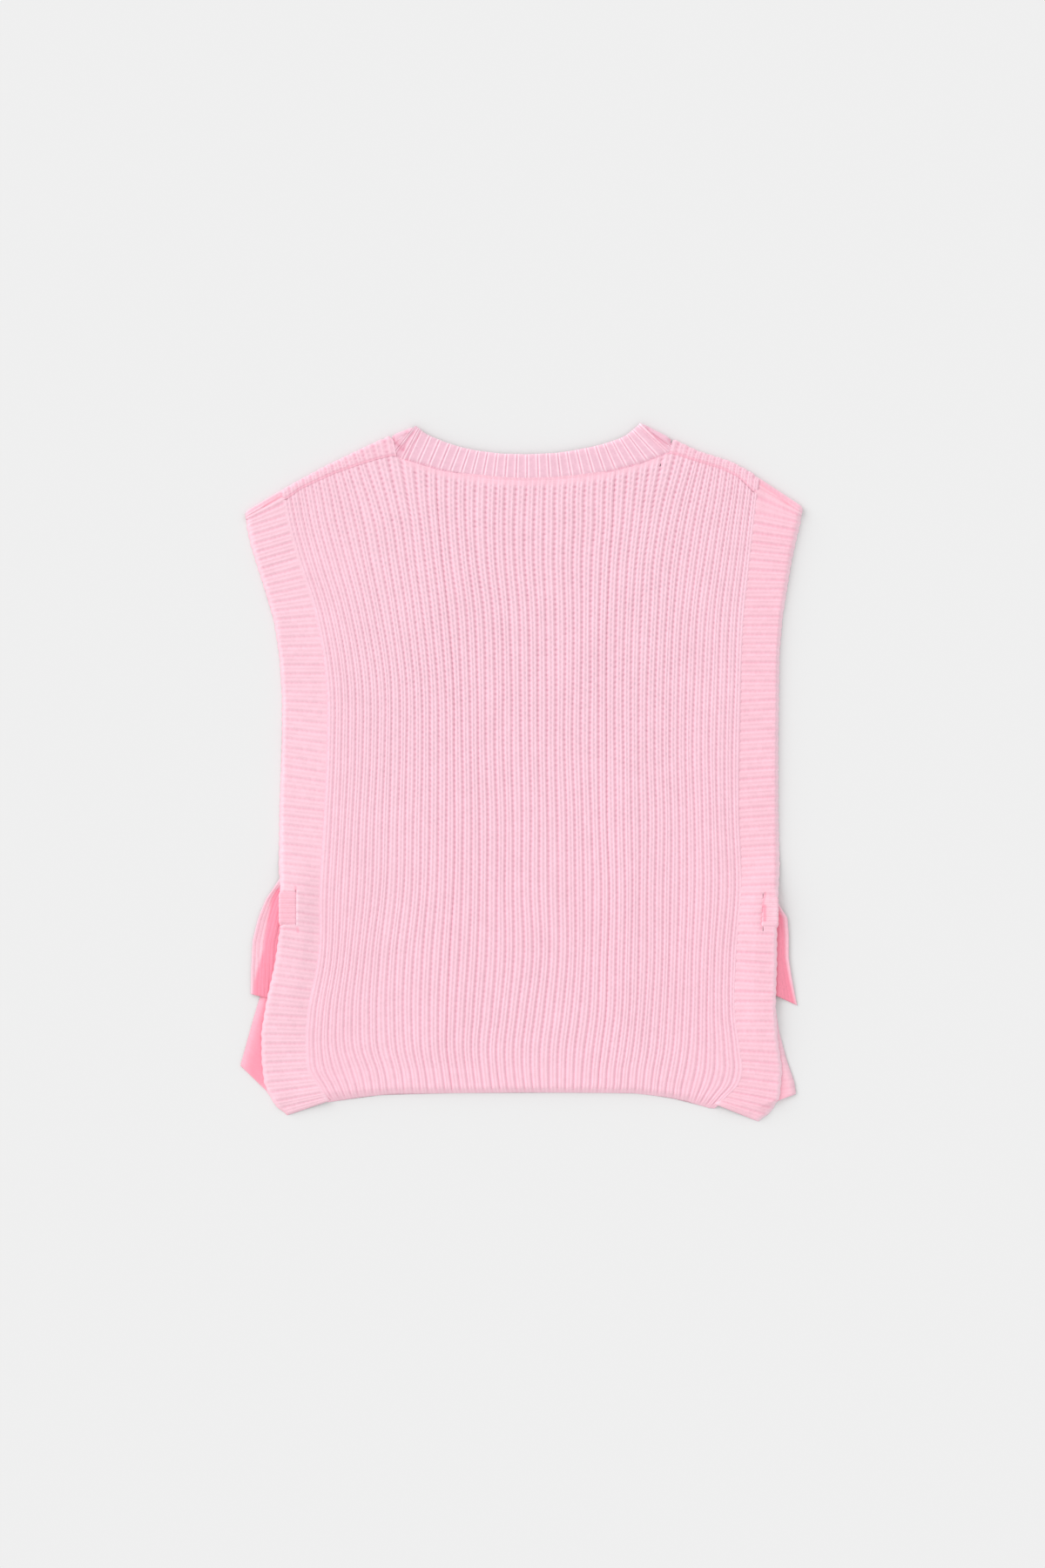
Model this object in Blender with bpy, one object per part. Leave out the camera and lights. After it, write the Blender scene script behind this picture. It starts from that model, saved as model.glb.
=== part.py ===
"""Knitted sweater vest laid flat, back side up: ribbed back and front, neckband, side trims, straps.

The vest is open at both sides. Its front lies underneath, folds over at the shoulders and meets
the back at seams that lie a little way down the upper side. A trim with ribs across it is knitted
on along each side, from the back hem over the shoulder to the front hem. Each trim has a slit on
the back, and a strap passes through it, round the trim's edge, and hangs down between the layers.

Sizes are in millimetres, turned to metres where a point becomes a vertex. X runs across the vest,
+Y to the neck, +Z up. The origin is on the ground, under the middle of the outline.
"""

import math

import bmesh
import bpy
import numpy as np

MILLIMETRE = 0.001
LEVEL_TOLERANCE = 1e-7
COLLECTION = "sweater_vest"

# Middle of the vest's outline in the sizes below, which becomes the origin.
ORIGIN = (0.13, -0.69, 0.0)

# Cloth thicknesses and clearances.
LAYER_GAP = 0.3
SEAM_GAP = 0.4
FRONT_WALL = 2.4
BACK_WALL = 1.8
BODY_RIB_RISE = 1.2
TRIM_WALL = 1.6
TRIM_RIB_RISE = 0.8
BAND_WALL = 2.2
BAND_RIB_RISE = 0.6
STRAP_WALL = 0.9
STRAP_RIB_RISE = 0.4

# Levels of the two layers, and the fold at the shoulders that joins them.
BACK_LEVEL = FRONT_WALL + LAYER_GAP
FOLD_RADIUS = LAYER_GAP / 2
FOLD_REACH = FOLD_RADIUS + 2.6
FOLD_STEPS = 4

# Ribs: a groove and two ends of a flat top for each rib, as shares of its pitch.
BODY_RIBS = 52
TRIM_RIBS = 66
RIB_SHARES = (0.0, 0.22, 0.78)
POINTS_PER_RIB = len(RIB_SHARES)
SIDE_CROWDING = 0.1

# The neckband meets the body between these two points of the row of rib points.
NECK_FIRST = 38
NECK_LAST = 126

# How far up the body the hem's curve is felt, and how fast the shoulders' slope fades downwards.
HEM_REACH = 0.25
SHOULDER_POWER = 3

# Seams between the back and its trims, and the hem's ends: a row for each section.
BACK_SECTIONS = (
    # left x, left y, right x, right y
    (-160.5, -267.0, 162.5, -267.5),
    (-163.0, -257.0, 169.0, -258.0),
    (-170.0, -242.0, 174.0, -243.0),
    (-173.5, -223.0, 174.5, -223.0),
    (-170.5, -171.0, 171.0, -171.0),
    (-161.5, -108.0, 174.5, -108.0),
    (-156.5, -10.0, 176.0, -10.0),
    (-156.0, 62.0, 176.0, 62.0),
    (-158.5, 92.0, 177.0, 92.0),
    (-164.5, 126.0, 179.0, 126.0),
    (-178.5, 180.0, 183.5, 180.0),
    (-191.0, 222.5, 187.5, 228.5),
)

# The same seams on the front, whose lower corners spread outwards. Above them it is the back's.
FRONT_LOW_SECTIONS = (
    (-199.0, -260.0, 192.0, -269.5),
    (-195.5, -245.0, 190.0, -255.5),
    (-190.0, -224.0, 185.0, -231.0),
    (-183.0, -199.0, 179.5, -206.0),
    (-176.5, -174.5, 173.5, -178.0),
    (-168.5, -144.0, 172.5, -144.0),
)
SHARED_FROM_SECTION = 5

BACK_HEM = (
    # x, y
    (-160.5, -267.0),
    (-131.5, -262.5),
    (-105.0, -259.5),
    (0.5, -258.5),
    (85.5, -259.0),
    (113.5, -262.0),
    (142.0, -267.0),
    (162.5, -267.5),
)
FRONT_HEM = (
    (-199.0, -260.0),
    (-176.0, -260.5),
    (-131.5, -257.5),
    (-105.0, -255.5),
    (0.5, -255.0),
    (99.5, -255.5),
    (142.0, -262.0),
    (192.0, -269.5),
)

# Outline of each shoulder, from the trim's tip to the neck's tip, where the cloth folds over.
SHOULDER_FOLDS = {
    "left": (
        (-224.5, 212.0),
        (-208.5, 221.5),
        (-193.5, 230.0),
        (-181.5, 237.0),
        (-157.5, 250.0),
        (-131.5, 262.5),
        (-113.5, 271.0),
        (-104.0, 275.0),
        (-88.0, 281.5),
    ),
    "right": (
        (96.0, 281.5),
        (111.5, 275.5),
        (121.0, 272.0),
        (141.0, 262.5),
        (167.5, 254.0),
        (183.5, 245.5),
        (195.5, 237.0),
        (211.0, 228.5),
        (228.5, 215.5),
    ),
}
SHOULDER_SEAMS = {
    "left": (
        (-191.0, 222.5),
        (-180.0, 231.0),
        (-167.5, 237.0),
        (-152.0, 244.0),
        (-132.0, 251.0),
        (-117.0, 255.5),
        (-104.0, 258.5),
    ),
    "right": (
        (120.3, 260.5),
        (128.0, 258.5),
        (138.5, 255.0),
        (149.0, 252.0),
        (163.0, 247.5),
        (175.0, 241.5),
        (184.0, 233.0),
        (187.5, 228.5),
    ),
}

# The neckband: where it is linked to the body, and its free edge across from there.
BACK_NECK = (
    # linked x, linked y, free x, free y
    (-104.0, 258.5, -85.5, 278.0),
    (-94.0, 253.0, -80.0, 275.5),
    (-78.5, 249.0, -69.5, 271.5),
    (-68.0, 245.5, -61.0, 268.0),
    (-56.0, 243.0, -50.0, 264.5),
    (-40.0, 240.5, -36.5, 261.5),
    (-18.0, 237.8, -16.5, 259.0),
    (4.0, 237.0, 4.0, 258.5),
    (29.0, 238.0, 27.5, 259.5),
    (45.0, 239.5, 41.5, 261.5),
    (62.0, 241.8, 56.5, 264.5),
    (71.5, 243.8, 65.0, 266.5),
    (91.0, 249.0, 79.0, 271.0),
    (101.0, 252.0, 86.0, 274.5),
    (111.5, 256.5, 91.5, 277.5),
    (120.3, 260.5, 94.0, 278.5),
)
FRONT_NECK = (
    (-104.0, 270.0, -86.7, 277.5),
    (-102.4, 253.0, -84.0, 261.0),
    (-95.0, 231.0, -77.0, 243.5),
    (-85.5, 213.5, -68.5, 227.5),
    (-68.0, 195.0, -54.5, 212.5),
    (-45.0, 180.5, -36.5, 201.0),
    (-20.5, 173.0, -17.0, 195.0),
    (4.0, 171.5, 4.0, 193.0),
    (30.0, 173.0, 25.5, 195.0),
    (56.0, 180.5, 46.5, 201.0),
    (80.5, 195.0, 65.5, 212.5),
    (100.5, 213.5, 81.0, 227.5),
    (111.5, 231.0, 91.0, 243.5),
    (118.5, 250.0, 96.5, 260.0),
    (120.3, 267.0, 95.4, 277.5),
)

# Where the neckband goes over each shoulder's fold: x of its linked edge and of its free edge.
NECK_TIPS = {"left": (-104.0, -86.7), "right": (120.3, 94.8)}
BAND_CELLS_ACROSS = 2

# The trims' outer edge on the back: how many ribs up from the hem, where the rib ends on the
# outer edge, and how high it ends on the seam.
BACK_TRIMS = {
    "left": (
        # rib, outer x, outer y, inner y
        (0, -190.0, -277.0, -267.0),
        (2, -199.5, -269.5, -255.0),
        (4, -208.5, -255.0, -242.0),
        (7, -211.0, -231.5, -221.0),
        (10, -211.0, -209.0, -199.0),
        (13, -207.0, -185.0, -177.0),
        (17, -200.0, -153.0, -147.5),
        (22, -194.5, -114.5, -111.5),
        (27, -197.0, -75.5, -74.0),
        (33, -196.5, -29.0, -28.0),
        (40, -194.5, 25.5, 27.0),
        (45, -194.5, 64.0, 66.5),
        (49, -196.5, 94.0, 96.5),
        (53, -201.0, 123.5, 128.5),
        (56, -207.0, 144.5, 152.0),
        (59, -214.0, 166.0, 174.5),
        (62, -220.0, 185.5, 195.0),
        (64, -223.0, 199.0, 210.0),
        (65.2, -223.4, 205.5, 222.5),
    ),
    "right": (
        (0, 192.0, -282.0, -267.5),
        (2, 202.0, -274.5, -258.0),
        (4, 209.5, -263.0, -248.0),
        (7, 211.5, -240.0, -227.0),
        (10, 207.5, -213.0, -204.5),
        (13, 206.0, -187.0, -182.0),
        (17, 207.0, -154.5, -151.0),
        (22, 207.0, -114.5, -113.0),
        (27, 209.5, -75.0, -74.0),
        (33, 208.5, -27.5, -27.5),
        (40, 208.5, 27.0, 27.0),
        (49, 209.5, 97.5, 97.5),
        (53, 212.0, 127.0, 127.0),
        (56, 215.5, 149.0, 149.5),
        (59, 219.0, 171.0, 172.0),
        (62, 223.5, 191.0, 194.0),
        (64, 226.5, 203.0, 212.0),
        (65.2, 227.0, 209.0, 228.5),
    ),
}

# The front trims' outer edge at the front's low sections. Above them it is the back's.
FRONT_TRIM_CORNERS = {
    "left": (
        # outer x, outer y
        (-228.0, -237.0),
        (-224.0, -223.0),
        (-218.5, -203.0),
        (-212.0, -181.0),
        (-206.0, -160.0),
        (-200.0, -136.0),
    ),
    "right": (
        (222.5, -260.0),
        (221.0, -250.0),
        (214.5, -231.0),
        (209.0, -210.0),
        (204.5, -181.0),
        (204.5, -144.0),
    ),
}
FRONT_TRIM_INSET = 1.0
FOLD_INSET = 1.2
TRIM_EDGE_RISE_SHARE = 0.3

# Slits on the back trims: distance of their middle from the vest's, and ribs from the hem. Two
# columns of points run along a slit's edges and on up the trim, kept within shares of its width.
SLIT_X = {"left": 183.3, "right": 194.9}
SLIT_WIDTH = 3.2
SLIT_SHARES = (0.55, 0.7)
SLIT_RIBS = {"left": (20.34, 25.0), "right": (20.0, 24.34)}

# How far the back trims rise over what lies between the layers: height along Y, rise.
TRIM_RISES = {
    "left": (
        (-230.0, 0.0),
        (-194.0, 2.2),
        (-138.0, 2.2),
        (-127.0, 3.3),
        (-90.0, 3.3),
        (-62.0, 0.0),
    ),
    "right": (
        (-234.0, 0.0),
        (-199.0, 2.2),
        (-141.0, 2.2),
        (-130.0, 3.3),
        (-92.0, 3.3),
        (-64.0, 0.0),
    ),
}

# Straps.
STRAP_RIBS = 5
STRAP_PASS_WIDTH = {"left": 32.0, "right": 30.0}
STRAP_PASS_MIDDLE_Y = {"left": -109.0, "right": -112.0}
STRAP_PASS_EDGE_X = {"left": 195.6, "right": 208.2}
STRAP_TUCK = 10.0
STRAP_BEND_RADIUS = 0.4
STRAP_BEND_STEPS = 3
STRAP_EDGE_STEPS = 6
STRAP_DROOP_START = 2.5
STRAP_DROOP_RUN = 9.0
STRAP_ENDS = {
    "left": (
        # outer x, outer y, inner x, inner y
        (-204.0, -94.0, -174.0, -94.5),
        (-212.0, -107.5, -181.5, -108.0),
        (-214.5, -121.5, -184.0, -123.0),
        (-218.0, -136.0, -187.5, -139.0),
        (-219.0, -157.0, -188.5, -162.0),
        (-219.5, -178.5, -190.0, -186.0),
    ),
    "right": (
        (204.0, -96.0, 186.0, -97.0),
        (209.5, -108.0, 184.0, -107.0),
        (215.5, -117.0, 185.0, -116.0),
        (216.5, -130.0, 187.0, -128.0),
        (216.5, -149.5, 189.0, -145.0),
        (219.0, -166.0, 190.0, -158.0),
        (223.5, -188.0, 193.5, -174.0),
    ),
}
STRAP_END_COLUMNS = 10

# Knit colours, linear red, green and blue.
BODY_PINK = (0.93, 0.55, 0.65)
TRIM_PINK = (0.95, 0.60, 0.69)
BAND_PINK = (0.93, 0.56, 0.67)
STRAP_PINK = (0.94, 0.50, 0.61)
KNIT_ROUGHNESS = 0.9

SIDES = {"left": -1, "right": 1}


def read_column(table, x_column, y_column, x):
    """Read a short table as a broken line: the value of one column where another equals x."""
    rows = np.array(table, dtype=float)
    return np.interp(x, rows[:, x_column], rows[:, y_column])


def crowd(share):
    """Place ribs across the body: a little closer together near the sides than in the middle."""
    turn = 2 * math.pi
    return share - SIDE_CROWDING / turn * math.sin(turn * share)


def body_shares():
    """Shares across the body of every rib point, from the left seam to the right one."""
    shares = []
    for rib in range(BODY_RIBS):
        for offset in RIB_SHARES:
            shares.append((rib + offset) / BODY_RIBS)
    shares.append(1.0)
    return shares


def rib_rise(point):
    """0 in a groove, 1 on a rib, for the number of a rib point."""
    return 0.0 if point % POINTS_PER_RIB == 0 else 1.0


def fold_normal(side):
    """Unit vector in plan that points out of the vest across a shoulder's fold."""
    first, last = SHOULDER_FOLDS[side][0], SHOULDER_FOLDS[side][-1]
    run, rise = last[0] - first[0], last[1] - first[1]
    length = math.hypot(run, rise)
    return -rise / length, run / length


def fold_axis_y(side, x):
    """Height of the line that a shoulder folds round, below its outline."""
    outline = read_column(SHOULDER_FOLDS[side], 0, 1, x)
    return outline - FOLD_REACH / fold_normal(side)[1]


def fold_point(side, x, turn_share, wall):
    """Inside and outside points of the cloth as it goes round a shoulder, from below to above."""
    normal_x, normal_y = fold_normal(side)
    angle = math.pi * turn_share
    axis_z = FRONT_WALL + FOLD_RADIUS
    points = []
    for radius in (FOLD_RADIUS, FOLD_RADIUS + wall):
        reach = radius * math.sin(angle)
        points.append((
            x + normal_x * reach,
            fold_axis_y(side, x) + normal_y * reach,
            axis_z - radius * math.cos(angle),
        ))
    return points


def smooth_step(value):
    """0 below 0, 1 above 1 and an even curve between."""
    value = min(max(value, 0.0), 1.0)
    return value * value * (3 - 2 * value)


def new_material(name, color):
    """A matt knit material."""
    material = bpy.data.materials.new(name)
    material.use_nodes = True
    shader = material.node_tree.nodes["Principled BSDF"]
    shader.inputs["Base Color"].default_value = (*color, 1.0)
    shader.inputs["Roughness"].default_value = KNIT_ROUGHNESS
    shader.inputs["Metallic"].default_value = 0.0
    material.diffuse_color = (*color, 1.0)
    return material


def faces_at(mesh_build, level):
    """Faces that lie flat at a level."""
    height = level * MILLIMETRE
    return [
        face
        for face in mesh_build.faces
        if all(abs(vertex.co.z - height) < LEVEL_TOLERANCE for vertex in face.verts)
    ]


def make_wall(name, size, place, material, collection, is_open=None):
    """Make a closed wall of cloth from a grid.

    size is the number of cells across and along. place(i, j) gives the inside and outside points
    of a grid point. is_open(i, j) is true for a cell where there is no cloth.
    """
    across, along = size
    mesh_build = bmesh.new()
    bmesh.ops.create_grid(mesh_build, x_segments=across, y_segments=along, size=1.0)
    column = mesh_build.verts.layers.int.new("column")
    row = mesh_build.verts.layers.int.new("row")
    for vertex in mesh_build.verts:
        vertex[column] = round((vertex.co.x + 1) / 2 * across)
        vertex[row] = round((vertex.co.y + 1) / 2 * along)
    if is_open:
        holes = []
        for face in mesh_build.faces:
            first_column = min(vertex[column] for vertex in face.verts)
            first_row = min(vertex[row] for vertex in face.verts)
            if is_open(first_column, first_row):
                holes.append(face)
        bmesh.ops.delete(mesh_build, geom=holes, context="FACES")
    inner = list(mesh_build.verts)
    made = bmesh.ops.extrude_face_region(mesh_build, geom=mesh_build.faces[:], use_keep_orig=True)
    outer = [item for item in made["geom"] if isinstance(item, bmesh.types.BMVert)]
    for layer, vertices in enumerate((inner, outer)):
        for vertex in vertices:
            point = place(vertex[column], vertex[row])[layer]
            vertex.co = [(value - zero) * MILLIMETRE for value, zero in zip(point, ORIGIN)]
    bmesh.ops.recalc_face_normals(mesh_build, faces=mesh_build.faces[:])
    if mesh_build.calc_volume(signed=True) < 0:
        bmesh.ops.reverse_faces(mesh_build, faces=mesh_build.faces[:])
    for level in (0.0, FRONT_WALL, BACK_LEVEL):
        bmesh.ops.dissolve_faces(mesh_build, faces=faces_at(mesh_build, level), use_verts=False)
    bmesh.ops.dissolve_limit(
        mesh_build,
        angle_limit=math.radians(0.02),
        verts=mesh_build.verts[:],
        edges=mesh_build.edges[:],
    )
    mesh = bpy.data.meshes.new(name)
    mesh_build.to_mesh(mesh)
    mesh_build.free()
    mesh.materials.append(material)
    wall = bpy.data.objects.new(name, mesh)
    collection.objects.link(wall)
    return wall


def body_point(sections, hem, end_heights, share, section):
    """Plan position on a body panel, by share across it and number of its section.

    end_heights gives the height of the panel's top end at a share.
    """
    left_x, left_y, right_x, right_y = sections[section]
    top = sections[-1]
    base_y = left_y + (right_y - left_y) * share
    hem_base = sections[0][1] + (sections[0][3] - sections[0][1]) * share
    hem_x = sections[0][0] + (sections[0][2] - sections[0][0]) * crowd(share)
    hem_bulge = read_column(hem, 0, 1, hem_x) - hem_base
    top_base = top[1] + (top[3] - top[1]) * share
    top_bulge = end_heights(share) - top_base
    height_share = (base_y - hem_base) / (top_base - hem_base)
    upper_half = max(0.0, height_share * 2 - 1)
    y = base_y + hem_bulge * (1 - smooth_step(height_share / HEM_REACH))
    y += top_bulge * upper_half ** (1 if top_bulge < 0 else SHOULDER_POWER)
    low_x = np.interp(y, [row[1] for row in sections], [row[0] for row in sections])
    high_x = np.interp(y, [row[3] for row in sections], [row[2] for row in sections])
    if section == len(sections) - 1:
        low_x, high_x = left_x, right_x
    return low_x + (high_x - low_x) * crowd(share), y


def top_x(share):
    """Place across the body at the shoulders, by share."""
    left_x, right_x = BACK_SECTIONS[-1][0], BACK_SECTIONS[-1][2]
    return left_x + (right_x - left_x) * crowd(share)


def shoulder_at(share):
    """Side of the shoulder that a share across the body meets, or None at the neck."""
    shares = body_shares()
    if share <= shares[NECK_FIRST]:
        return "left"
    if share >= shares[NECK_LAST]:
        return "right"
    return None


def back_end_height(share):
    """Height of the back's top end: the shoulder seams, and the neckband's linking between them."""
    x = top_x(share)
    side = shoulder_at(share)
    if side is None:
        return read_column(BACK_NECK, 0, 1, x)
    from_side = share if side == "left" else 1 - share
    return read_column(SHOULDER_SEAMS[side], 0, 1, x) - SEAM_GAP * smooth_step(from_side * BODY_RIBS)


def front_end_height(share):
    """Height where the front's lower layer ends: the shoulder folds, and the front neck."""
    x = top_x(share)
    side = shoulder_at(share)
    if side is None:
        return read_column(FRONT_NECK, 0, 1, x)
    return fold_axis_y(side, x)


def front_sections():
    """The front's sections: its own low ones, and the back's above them, up to the fold."""
    sections = list(FRONT_LOW_SECTIONS) + list(BACK_SECTIONS[SHARED_FROM_SECTION:-1])
    top = BACK_SECTIONS[-1]
    sections.append((top[0], fold_axis_y("left", top[0]), top[2], fold_axis_y("right", top[2])))
    return sections


def make_back_panel(collection):
    """The ribbed back, from the hem to the shoulder seams and the neckband."""
    shares = body_shares()

    def place(i, j):
        x, y = body_point(BACK_SECTIONS, BACK_HEM, back_end_height, shares[i], j)
        top = BACK_LEVEL + BACK_WALL + BODY_RIB_RISE * rib_rise(i)
        return (x, y, BACK_LEVEL), (x, y, top)

    size = (len(shares) - 1, len(BACK_SECTIONS) - 1)
    material = new_material("back_knit", BODY_PINK)
    return make_wall("back_panel", size, place, material, collection)


def front_columns():
    """Rib points that the front uses: all at the shoulders, one a rib at the neck."""
    neck = list(range(NECK_FIRST + 1, NECK_LAST + 1, POINTS_PER_RIB))
    if neck[-1] != NECK_LAST:
        neck.append(NECK_LAST)
    last = BODY_RIBS * POINTS_PER_RIB
    return list(range(NECK_FIRST + 1)) + neck + list(range(NECK_LAST + 1, last + 1))


def make_front_panel(collection):
    """The front: flat on the ground, folded over at the shoulders up to the shoulder seams."""
    shares = body_shares()
    columns = front_columns()
    sections = front_sections()
    fold_row = len(sections) - 1
    seam_row = fold_row + FOLD_STEPS + 1
    first_neck = columns.index(NECK_FIRST)
    last_neck = columns.index(NECK_LAST)

    def place(i, j):
        point = columns[i]
        share = shares[point]
        if j <= fold_row:
            x, y = body_point(sections, FRONT_HEM, front_end_height, share, j)
            return (x, y, FRONT_WALL), (x, y, 0.0)
        side = "left" if i <= first_neck else "right"
        x = top_x(share)
        top_wall = BACK_WALL + BODY_RIB_RISE * rib_rise(point)
        if j < seam_row:
            turn_share = (j - fold_row) / FOLD_STEPS
            wall = FRONT_WALL + (top_wall - FRONT_WALL) * turn_share
            return fold_point(side, x, turn_share, wall)
        y = read_column(SHOULDER_SEAMS[side], 0, 1, x)
        return (x, y, BACK_LEVEL), (x, y, BACK_LEVEL + top_wall)

    def is_open(i, j):
        return j >= fold_row and first_neck <= i < last_neck

    size = (len(columns) - 1, seam_row)
    material = new_material("front_knit", BODY_PINK)
    return make_wall("front_panel", size, place, material, collection, is_open)


def shifted(point, target, distance):
    """Move a plan point towards another by a distance."""
    run, rise = target[0] - point[0], target[1] - point[1]
    length = math.hypot(run, rise)
    return point[0] + run / length * distance, point[1] + rise / length * distance


def neckband_stations():
    """Cross lines of the neckband in order: linked end, free end, level and rib rise for each.

    It starts at the left shoulder's fold on the upper side, follows the back's neck to the right
    shoulder, goes round it, and comes back along the front's neck.
    """
    shares = body_shares()
    stations = []
    for point in range(NECK_FIRST, NECK_LAST + 1):
        x = top_x(shares[point])
        linked = (x, read_column(BACK_NECK, 0, 1, x))
        free = (read_column(BACK_NECK, 0, 2, x), read_column(BACK_NECK, 0, 3, x))
        stations.append(("above", shifted(linked, free, SEAM_GAP), free, rib_rise(point)))
    front = []
    for point in front_columns():
        if NECK_FIRST <= point <= NECK_LAST:
            x = top_x(shares[point])
            y = front_end_height(shares[point])
            linked = (x, read_column(FRONT_NECK, 0, 1, x) if NECK_FIRST < point < NECK_LAST else y)
            free = (read_column(FRONT_NECK, 0, 2, x), read_column(FRONT_NECK, 0, 3, x))
            front.append(("below", shifted(linked, free, SEAM_GAP), free, 0.0))
    front = front[1:-1]
    turns = {}
    for side, (linked_x, tip_x) in NECK_TIPS.items():
        linked_x -= SIDES[side] * SEAM_GAP
        steps = range(FOLD_STEPS + 1)
        turns[side] = [(side, linked_x, tip_x, step / FOLD_STEPS) for step in steps]
    return stations, front, turns


def make_neckband(collection):
    """The ribbed neckband: one strip all round the neck, its ends meeting at the left shoulder."""
    above, front, turns = neckband_stations()
    stations = []
    stations.append(("turn", turns["left"][-1]))
    stations += [("flat", station) for station in above]
    stations += [("turn", turn) for turn in reversed(turns["right"])]
    stations += [("flat", station) for station in reversed(front)]
    stations += [("turn", turn) for turn in turns["left"][:-1]]

    def place(i, j):
        kind, station = stations[j]
        share = i / BAND_CELLS_ACROSS
        if kind == "turn":
            side, inner_x, tip_x, turn_share = station
            x = inner_x + (tip_x - inner_x) * share
            wall = FRONT_WALL + (BAND_WALL - FRONT_WALL) * turn_share
            return fold_point(side, x, turn_share, wall)
        level, linked, free, rise = station
        x = linked[0] + (free[0] - linked[0]) * share
        y = linked[1] + (free[1] - linked[1]) * share
        if level == "below":
            return (x, y, FRONT_WALL), (x, y, 0.0)
        return (x, y, BACK_LEVEL), (x, y, BACK_LEVEL + BAND_WALL + BAND_RIB_RISE * rise)

    size = (BAND_CELLS_ACROSS, len(stations) - 1)
    material = new_material("neckband_knit", BAND_PINK)
    return make_wall("neckband", size, place, material, collection)


def trim_outer(side, inner_y):
    """Outer edge point of a back trim's rib that ends on the seam at inner_y."""
    table = BACK_TRIMS[side]
    return read_column(table, 3, 1, inner_y), read_column(table, 3, 2, inner_y)


def make_trim(side, collection):
    """One side trim: up the back, over the shoulder and down the front, with the strap's slit."""
    sign = SIDES[side]
    table = BACK_TRIMS[side]
    seam_column = 0 if side == "left" else 2
    last_rib = table[-1][0]
    shoulder_x = BACK_SECTIONS[-1][seam_column]
    fold_x = SHOULDER_FOLDS[side][0 if side == "left" else -1][0] - sign * FOLD_INSET
    seam_y = [row[seam_column + 1] for row in BACK_SECTIONS]
    seam_x = [row[seam_column] for row in BACK_SECTIONS]
    above = TRIM_RIBS * POINTS_PER_RIB
    fronts = front_sections()[::-1]

    def column_share(i, inner_x, outer_x):
        if i in (0, 3):
            return i / 3
        middle = (SLIT_X[side] - abs(inner_x)) / (abs(outer_x) - abs(inner_x))
        half = SLIT_WIDTH / 2 / (abs(outer_x) - abs(inner_x))
        return min(max(middle, SLIT_SHARES[0]), SLIT_SHARES[1]) + half * (i * 2 - 3)

    def fold_line(share):
        return shoulder_x + sign * SEAM_GAP + (fold_x - shoulder_x - sign * SEAM_GAP) * share

    def back_ends(rib):
        inner_y = read_column(table, 0, 3, rib)
        outer = (read_column(table, 0, 1, rib), read_column(table, 0, 2, rib))
        inner = (np.interp(inner_y, seam_y, seam_x) + sign * SEAM_GAP, inner_y)
        if rib <= last_rib:
            return inner, outer
        rise = (rib - last_rib) / (TRIM_RIBS - last_rib)
        fold_inner = (fold_line(0.0), fold_axis_y(side, fold_line(0.0)))
        fold_outer = (fold_line(1.0), fold_axis_y(side, fold_line(1.0)))
        return tuple(
            tuple(start + (end - start) * rise for start, end in zip(low, high))
            for low, high in ((inner, fold_inner), (outer, fold_outer))
        )

    def place(i, j):
        if j < above:
            inner, outer = back_ends(j / POINTS_PER_RIB)
            share = column_share(i, inner[0], outer[0])
            x = inner[0] + (outer[0] - inner[0]) * share
            y = inner[1] + (outer[1] - inner[1]) * share
            lift = read_column(TRIM_RISES[side], 0, 1, y) * (0.0 if i == 0 else 1.0)
            rise = TRIM_RIB_RISE * rib_rise(j) * (1.0 if i in (1, 2) else TRIM_EDGE_RISE_SHARE)
            level = BACK_LEVEL + lift
            return (x, y, level), (x, y, level + TRIM_WALL + rise)
        if j <= above + FOLD_STEPS:
            turn_share = 1 - (j - above) / FOLD_STEPS
            wall = FRONT_WALL + (TRIM_WALL - FRONT_WALL) * turn_share
            share = column_share(i, fold_line(0.0), fold_line(1.0))
            return fold_point(side, fold_line(share), turn_share, wall)
        number = j - above - FOLD_STEPS
        section = fronts[number]
        inner = (section[seam_column] + sign * SEAM_GAP, section[seam_column + 1])
        corner = len(fronts) - 1 - number
        if corner < len(FRONT_TRIM_CORNERS[side]):
            outer = FRONT_TRIM_CORNERS[side][corner]
        else:
            outer = trim_outer(side, inner[1])
            outer = (outer[0] - sign * FRONT_TRIM_INSET, outer[1])
        share = column_share(i, inner[0], outer[0])
        x = inner[0] + (outer[0] - inner[0]) * share
        y = inner[1] + (outer[1] - inner[1]) * share
        return (x, y, FRONT_WALL), (x, y, 0.0)

    slit_first, slit_last = (round(rib * POINTS_PER_RIB) for rib in SLIT_RIBS[side])

    def is_open(i, j):
        return i == 1 and slit_first <= j < slit_last

    size = (3, above + FOLD_STEPS + len(fronts) - 1)
    material = new_material(f"trim_{side}_knit", TRIM_PINK)
    return make_wall(f"trim_{side}", size, place, material, collection, is_open)


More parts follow.
